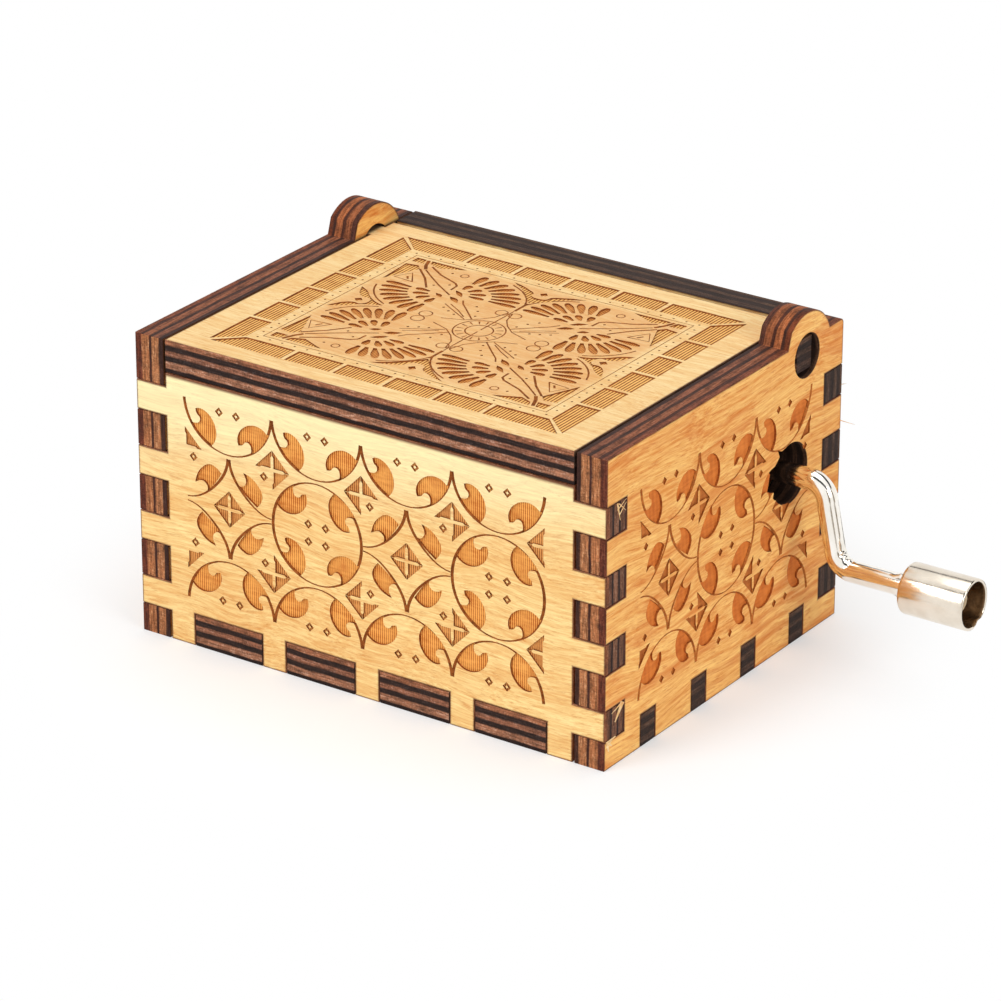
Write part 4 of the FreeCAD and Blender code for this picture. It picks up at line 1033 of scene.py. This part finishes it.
def lid_ornament():
    """The lid's engraving about its middle: hatched pockets, deep ones, and strokes."""
    hatched, deep, strokes = [], [], []
    quarters = ((-1, -1), (-1, 1), (1, -1), (1, 1))

    def four(where, points):
        where.extend(mirrored(points, *quarter) for quarter in quarters)

    def line(half_width, *points, closed=False):
        drawn = [(a, b, half_width) for a, b in points]
        strokes.extend((mirrored(drawn, *quarter), closed) for quarter in quarters)

    def circle(across, up, radius, half_width, count):
        strokes.append(ring((across, up), (radius, radius), lambda angle: half_width, count))

    def diamond(across, up, wide, tall):
        left, right = across - wide, across + wide
        return corners((right, up), (across, up + tall), (left, up), (across, up - tall))

    def dot(across, up, half=0.2):
        four(deep, diamond(across, up, half, half))

    def bar(*points):
        """A border bar: its hatched floor and the line that outlines it."""
        four(hatched, corners(*points))
        line(0.07, *points, closed=True)

    # border bars, mitred at the corners
    outer_x, outer_y, gap = 24.3, 19.6, 0.3
    inner_x, inner_y = outer_x - 3.1, outer_y - 2.85
    for start, end in ((gap, 6.55), (7.15, 13.37)):
        bar((start, inner_y), (end, inner_y), (end, outer_y), (start, outer_y))
    mitre = (inner_x - gap, inner_y), (outer_x - gap * 1.4, outer_y)
    bar((13.97, inner_y), *mitre, (13.97, outer_y))
    for start, end in ((gap, 5.32), (5.92, 10.92)):
        bar((inner_x, start), (outer_x, start), (outer_x, end), (inner_x, end))
    mitre = (outer_x, outer_y - gap * 1.4), (inner_x, inner_y - gap)
    bar((inner_x, 11.52), (outer_x, 11.52), *mitre)
    for index in range(12):
        dot(0.6 + 1.76 * index, 15.85, 0.17)
    for index in range(10):
        dot(20.3, 0.75 + 1.5 * index, 0.17)
    turned = (1, -1), (1, 1), (-1, 1), (-1, -1)
    strokes.append(([(FRAME_X * across, FRAME_Y * up, 0.08) for across, up in turned], True))

    # fans: long rays, short rays and an outline
    for centre, radii in (((9.8, 6.9), (8.0, -6.7)), ((9.0, 7.9), (-8.5, 6.3))):
        for count, pitch, spread, start, end in ((8, 12, 2.7, 0.56, 1.0), (4, 27, 5.5, 0.24, 0.48)):
            for index in range(count):
                middle = 3.0 + pitch * index
                low, high = middle - spread, middle + spread
                ray = [
                    (*on_ellipse(centre, radii, low, start), True),
                    (*on_ellipse(centre, radii, high, start), True),
                    (*on_ellipse(centre, radii, high + 0.3, end * 0.95), False),
                    (*on_ellipse(centre, radii, middle, end), False),
                    (*on_ellipse(centre, radii, low - 0.3, end * 0.95), False),
                ]
                four(deep, ray)
        line(0.11, *[on_ellipse(centre, radii, 14 + 8 * step, 1.08) for step in range(7)])
    four(deep, [(6.9, 5.5, True), (8.1, 5.95, False), (8.8, 6.75, True), (7.6, 6.55, False)])
    four(deep, [(7.5, 7.35, True), (8.4, 7.65, False), (9.35, 8.75, True), (8.2, 8.35, False)])
    four(deep, [(9.5, 5.9, True), (10.3, 6.15, False), (10.8, 6.75, True), (9.9, 6.65, False)])

    # winged pieces at the middle of each side
    side_wing = [(16.2, 0.95), (17.1, 0.95), (18.1, 1.6), (18.7, 2.6)]
    side_wing += [(19.15, 3.55), (17.8, 2.75), (16.4, 1.4), (15.0, 0.5)]
    end_wing = [(12.3, 1.0), (13.1, 1.25), (13.8, 2.4), (14.35, 3.6)]
    end_wing += [(14.75, 5.1), (13.7, 3.5), (12.4, 2.0), (11.2, 0.9)]
    for wing, tip, notch, eye in ((side_wing, 13.6, 15.7, 17.1), (end_wing, 10.2, 12.0, 13.4)):
        upper = [(a, b, a == wing[4][0]) for a, b in wing]
        lower = [(a, -b, corner) for a, b, corner in reversed(upper)]
        shape = [(tip, 0, True), *lower, (notch, 0, False), *upper]
        pupil = diamond(eye, 0, 0.58, 0.55)
        for side in (-1, 1):
            for where, points in ((hatched, shape), (deep, pupil)):
                if wing is side_wing:
                    where.append(mirrored(points, side, 1))
                else:
                    where.append([(b, side * a, corner) for a, b, corner in points])

    # corner pieces
    four(hatched, corners((18.75, 7.1), (19.15, 12.5), (17.5, 12.75), (16.75, 11.9)))
    four(hatched, corners((11.8, 14.7), (15.0, 13.3), (16.5, 13.9), (16.9, 14.75)))
    four(hatched, corners((17.3, 13.5), (19.0, 13.5), (19.0, 14.75), (17.75, 14.75)))
    line(0.22, (16.1, 12.2), (16.75, 13.2), (17.35, 14.7))
    line(0.11, (9.1, 7.1), (12.0, 9.0), (14.0, 10.5), (16.0, 12.1))
    line(0.14, (9.9, 8.5), (10.0, 9.9), (10.6, 10.5), (13.5, 11.7), (15.9, 13.3))
    line(0.14, (12.7, 7.5), (14.5, 9.8), (16.7, 11.9))
    line(0.10, (15.1, 8.0), (16.7, 10.4), (17.9, 8.3), (15.15, 8.05))
    line(0.13, (16.1, 8.5), (16.6, 9.2))
    for across, up in ((12.4, 8.6), (10.9, 9.7), (12.7, 12.9), (5.3, 2.5), (6.4, 3.0), (7.5, 3.6)):
        dot(across, up)
    for across, up in ((2.9, 3.4), (3.5, 4.8), (4.4, 5.9)):
        dot(across, up)

    # the middle: curved lines, small rings and the rosette
    line(0.10, (2.6, 2.3), (4.9, 4.5), (6.2, 5.7), (6.8, 6.6))
    line(0.08, (3.9, 2.5), (5.6, 3.8), (7.4, 4.9))
    line(0.08, (3.4, 1.9), (5.8, 3.3), (8.0, 4.6))
    line(0.08, (0.35, 6.3), (0.85, 4.4), (1.9, 3.0), (3.4, 1.7), (5.9, 0.8))
    line(0.09, (0.0, 0.3), (0.0, 3.6), (0.0, 7.2))
    line(0.18, (0.0, 7.3), (0.0, 10.0))
    for across, up, radius in ((8.1, 0.85, 0.8), (0.95, 6.0, 0.75), (11.0, 13.0, 0.5)):
        for side, tier in quarters:
            circle(side * across, tier * up, radius, 0.08, 16)
    for radius in (1.65, 3.1):
        circle(0, 0, radius, 0.09, 32)
    for index in range(16):
        angle = 360 * (index + 0.5) / 16
        ends = (0.7, 0.05), (1, 0.12)
        petal = [(*on_ellipse((0, 0), (2.8, 2.8), angle, share), half) for share, half in ends]
        strokes.append((petal, False))
    return hatched, deep, strokes


def smoke_and_painted_tab_shade(place, wood):
    """The engraved part of the lid's top is a little darker, as smoke has settled on it.

    The pivot tabs, cut on three sides, are painted dark brown all over, as painted shade inside the
    ears' holes.
    """
    aside = place.along(0).size()
    beyond_x = aside - (FRAME_X + 0.05)
    beyond_y = (place.along(1) - LID_MIDDLE).size() - FRAME_Y
    beyond = beyond_x.maths("MAXIMUM", beyond_x, beyond_y)
    cloud = stretched(place, EVEN, 0.3, 3.0, 43.0)
    share = beyond.step(-1.2, 0.1, 1.0, 0.0) * (cloud * 0.5 + 0.15)
    share = share * place.along(2).step(CASE_TOP - 2.0, CASE_TOP - 1.0)
    wood = share.mix(wood, tint(222, 146, 76))
    # painted shade: the pivot tabs at the lid's ends
    return (aside.step(LID_END - 0.1, LID_END + 0.7) * 0.9).mix(wood, tint(74, 46, 32))


lid = board("lid_panel", 2, end_of_x)
coat(
    lid,
    veneer("lid_veneer", 0, (255, 226, 166), (240, 190, 120), 37.0, 0.25, smoke_and_painted_tab_shade),
    charred("lid_edge", 2, CASE_TOP, -1.0, LONG_EDGE, 7.0, 0.8),
    charred("lid_tab_ends", 2, CASE_TOP, -1.0, DARK_EDGE, 7.5, 0.3),
)
lid_face = on_face((0, LID_MIDDLE, CASE_TOP), (1, 0, 0), (0, 1, 0))
lid_hatched, lid_deep, lid_strokes = lid_ornament()
lid_wall = burnt("lid_burnt", (170, 100, 48), (108, 56, 24))
bar_floor = engraved_floor("lid_bars", 0, (254, 198, 116), (148, 80, 30), 0.85, 0.42)
deep_floor = engraved_floor("lid_rays", 0, (236, 160, 84), (150, 80, 32))
lid = engrave(lid, pockets("lid_hatched", lid_hatched, BAR_DEEP), (bar_floor, lid_wall), lid_face)
lid = engrave(lid, pockets("lid_deep", lid_deep, FAN_DEEP), (deep_floor, lid_wall), lid_face)
lid = engrave(lid, grooves("lid_lines", lid_strokes), (lid_wall,), lid_face, overlapping=True)
fitted("lid_board", lid, "lid", "lid_panel")

# Studio
# A white floor and surround, a large soft lamp in front, one at the side and one overhead. Dark
# strips, which only polished metal shows, paint dark reflections on the crank: four high ones
# stand in for the edges of the lamps' cloths, and three near ones put dark streaks on its arm.

WHITE = (1.0, 1.0, 1.0, 1.0)
AMBIENT = 0.42
LENS = 184.27
LOOK_AT = (1.415, 0.0, 16.060)
DISTANCE = 0.600
AZIMUTH, ELEVATION, ROLL = 34.288, 24.227, 0.100


def seen_directly(tree):
    """1 for what the camera, polished metal or glass sees, and 0 for light on its way to a surface."""
    rays = tree.nodes.new("ShaderNodeLightPath")
    seen = Wire(tree, rays.outputs["Is Camera Ray"])
    for kind in ("Is Glossy Ray", "Is Transmission Ray"):
        seen = seen.maths("MAXIMUM", seen, Wire(tree, rays.outputs[kind]))
    return seen


plane = bmesh.new()
bmesh.ops.create_grid(plane, x_segments=1, y_segments=1, size=3.0)
floor = linked("floor", mesh_of(plane, "floor"))
floor_paint, floor_shader, floor_place = finish("floor_paint", roughness=0.9, specular=0.0)
floor_shader.inputs["Base Color"].default_value = WHITE
floor_tree = floor_paint.node_tree
white = floor_tree.nodes.new("ShaderNodeEmission")
white.inputs["Strength"].default_value = 1.0
blend = floor_tree.nodes.new("ShaderNodeMixShader")
away = floor_place.node("VectorMath", {"operation": "LENGTH"}, {0: floor_place}, output=1)
bare = seen_directly(floor_tree) * away.step(34.0, 58.0, 0.34, 1.0)
floor_tree.links.new(bare.socket, blend.inputs[0])
floor_tree.links.new(floor_shader.outputs[0], blend.inputs[1])
floor_tree.links.new(white.outputs[0], blend.inputs[2])
floor_tree.links.new(blend.outputs[0], floor_tree.nodes["Material Output"].inputs["Surface"])
coat(floor.data, floor_paint)

world = bpy.data.worlds.new("studio")
bpy.context.scene.world = world
world.use_nodes = True
world_tree = world.node_tree
surround = world_tree.nodes["Background"]
surround.inputs["Color"].default_value = WHITE
strength = seen_directly(world_tree) * (1.0 - AMBIENT) + AMBIENT
world_tree.links.new(strength.socket, surround.inputs["Strength"])


def lamp(name, place, aim, size, power):
    """A square area lamp aimed at a point, in metres and watts."""
    light = bpy.data.lights.new(name, "AREA")
    light.size = size
    light.energy = power
    made = linked(name, light)
    made.location = place
    made.rotation_euler = (Vector(aim) - Vector(place)).to_track_quat("-Z", "Y").to_euler()


lamp("key", (-0.5, -1.1, 0.9), (0, 0, 0.02), 0.7, 9.6)
lamp("side", (1.3, -0.3, 0.7), (0, 0, 0.02), 0.7, 7.6)
lamp("overhead", (0.0, 0.2, 1.4), (0, 0, 0.03), 1.0, 5.2)


def painted_reflection_strip(name, low, high, cloth):
    """A dark strip between two corners, in metres, that only shows in polished metal: a painted
    reflection.
    """
    low, high = Vector(low), Vector(high)
    strip = bmesh.new()
    bmesh.ops.create_cube(strip, size=1.0)
    bmesh.ops.scale(strip, vec=high - low, verts=strip.verts)
    bmesh.ops.translate(strip, vec=(low + high) / 2, verts=strip.verts)
    made = linked(name, mesh_of(strip, name))
    coat(made.data, cloth)
    for sight in ("camera", "diffuse", "shadow", "transmission"):
        setattr(made, "visible_" + sight, False)


def cloth(name, *shade):
    """Matt cloth of one colour."""
    made, shader, _ = finish(name, roughness=1.0, specular=0.0)
    shader.inputs["Base Color"].default_value = (*shade, 1.0)
    return made


black_cloth = cloth("black_cloth", 0.02, 0.02, 0.02)
grey_cloth = cloth("grey_cloth", 0.30, 0.25, 0.19)
painted_reflection_strip("cloth_front", (-0.7, -0.31, 0.50), (0.3, -0.24, 0.505), black_cloth)
painted_reflection_strip("cloth_back", (-0.7, 0.38, 0.50), (0.3, 0.50, 0.505), black_cloth)
painted_reflection_strip("cloth_right_front", (0.0, -0.36, 0.50), (0.8, -0.16, 0.505), black_cloth)
painted_reflection_strip("cloth_right_back", (0.02, 0.30, 0.50), (0.8, 0.62, 0.505), black_cloth)
# painted reflections: these three strips put dark streaks on the crank's arm and bends
painted_reflection_strip("reflection_streak_low", (0.048, 0.030, 0.0002), (0.064, 0.080, 0.0006), black_cloth)
painted_reflection_strip("reflection_streak_front", (0.180, -0.124, 0.001), (0.196, -0.072, 0.120), grey_cloth)
painted_reflection_strip("reflection_streak_right", (0.206, 0.032, 0.001), (0.220, 0.082, 0.120), grey_cloth)

camera_data = bpy.data.cameras.new("camera")
camera_data.sensor_width = 36.0
camera_data.lens = LENS
camera_data.clip_start = 0.05
camera_data.clip_end = 10.0
camera = linked("camera", camera_data)
azimuth, elevation, roll = (math.radians(angle) for angle in (AZIMUTH, ELEVATION, ROLL))
flat = math.cos(elevation)
behind = Vector((math.sin(azimuth) * flat, -math.cos(azimuth) * flat, math.sin(elevation)))
level = Vector((math.cos(azimuth), math.sin(azimuth), 0.0))
above = behind.cross(level)
rightward = level * math.cos(roll) + above * math.sin(roll)
upward = above * math.cos(roll) - level * math.sin(roll)
facing = Matrix((rightward, upward, behind)).transposed().to_4x4()
camera.matrix_world = Matrix.Translation(Vector(LOOK_AT) * MM + behind * DISTANCE) @ facing
bpy.context.scene.camera = camera
bpy.context.scene.view_settings.view_transform = "Standard"
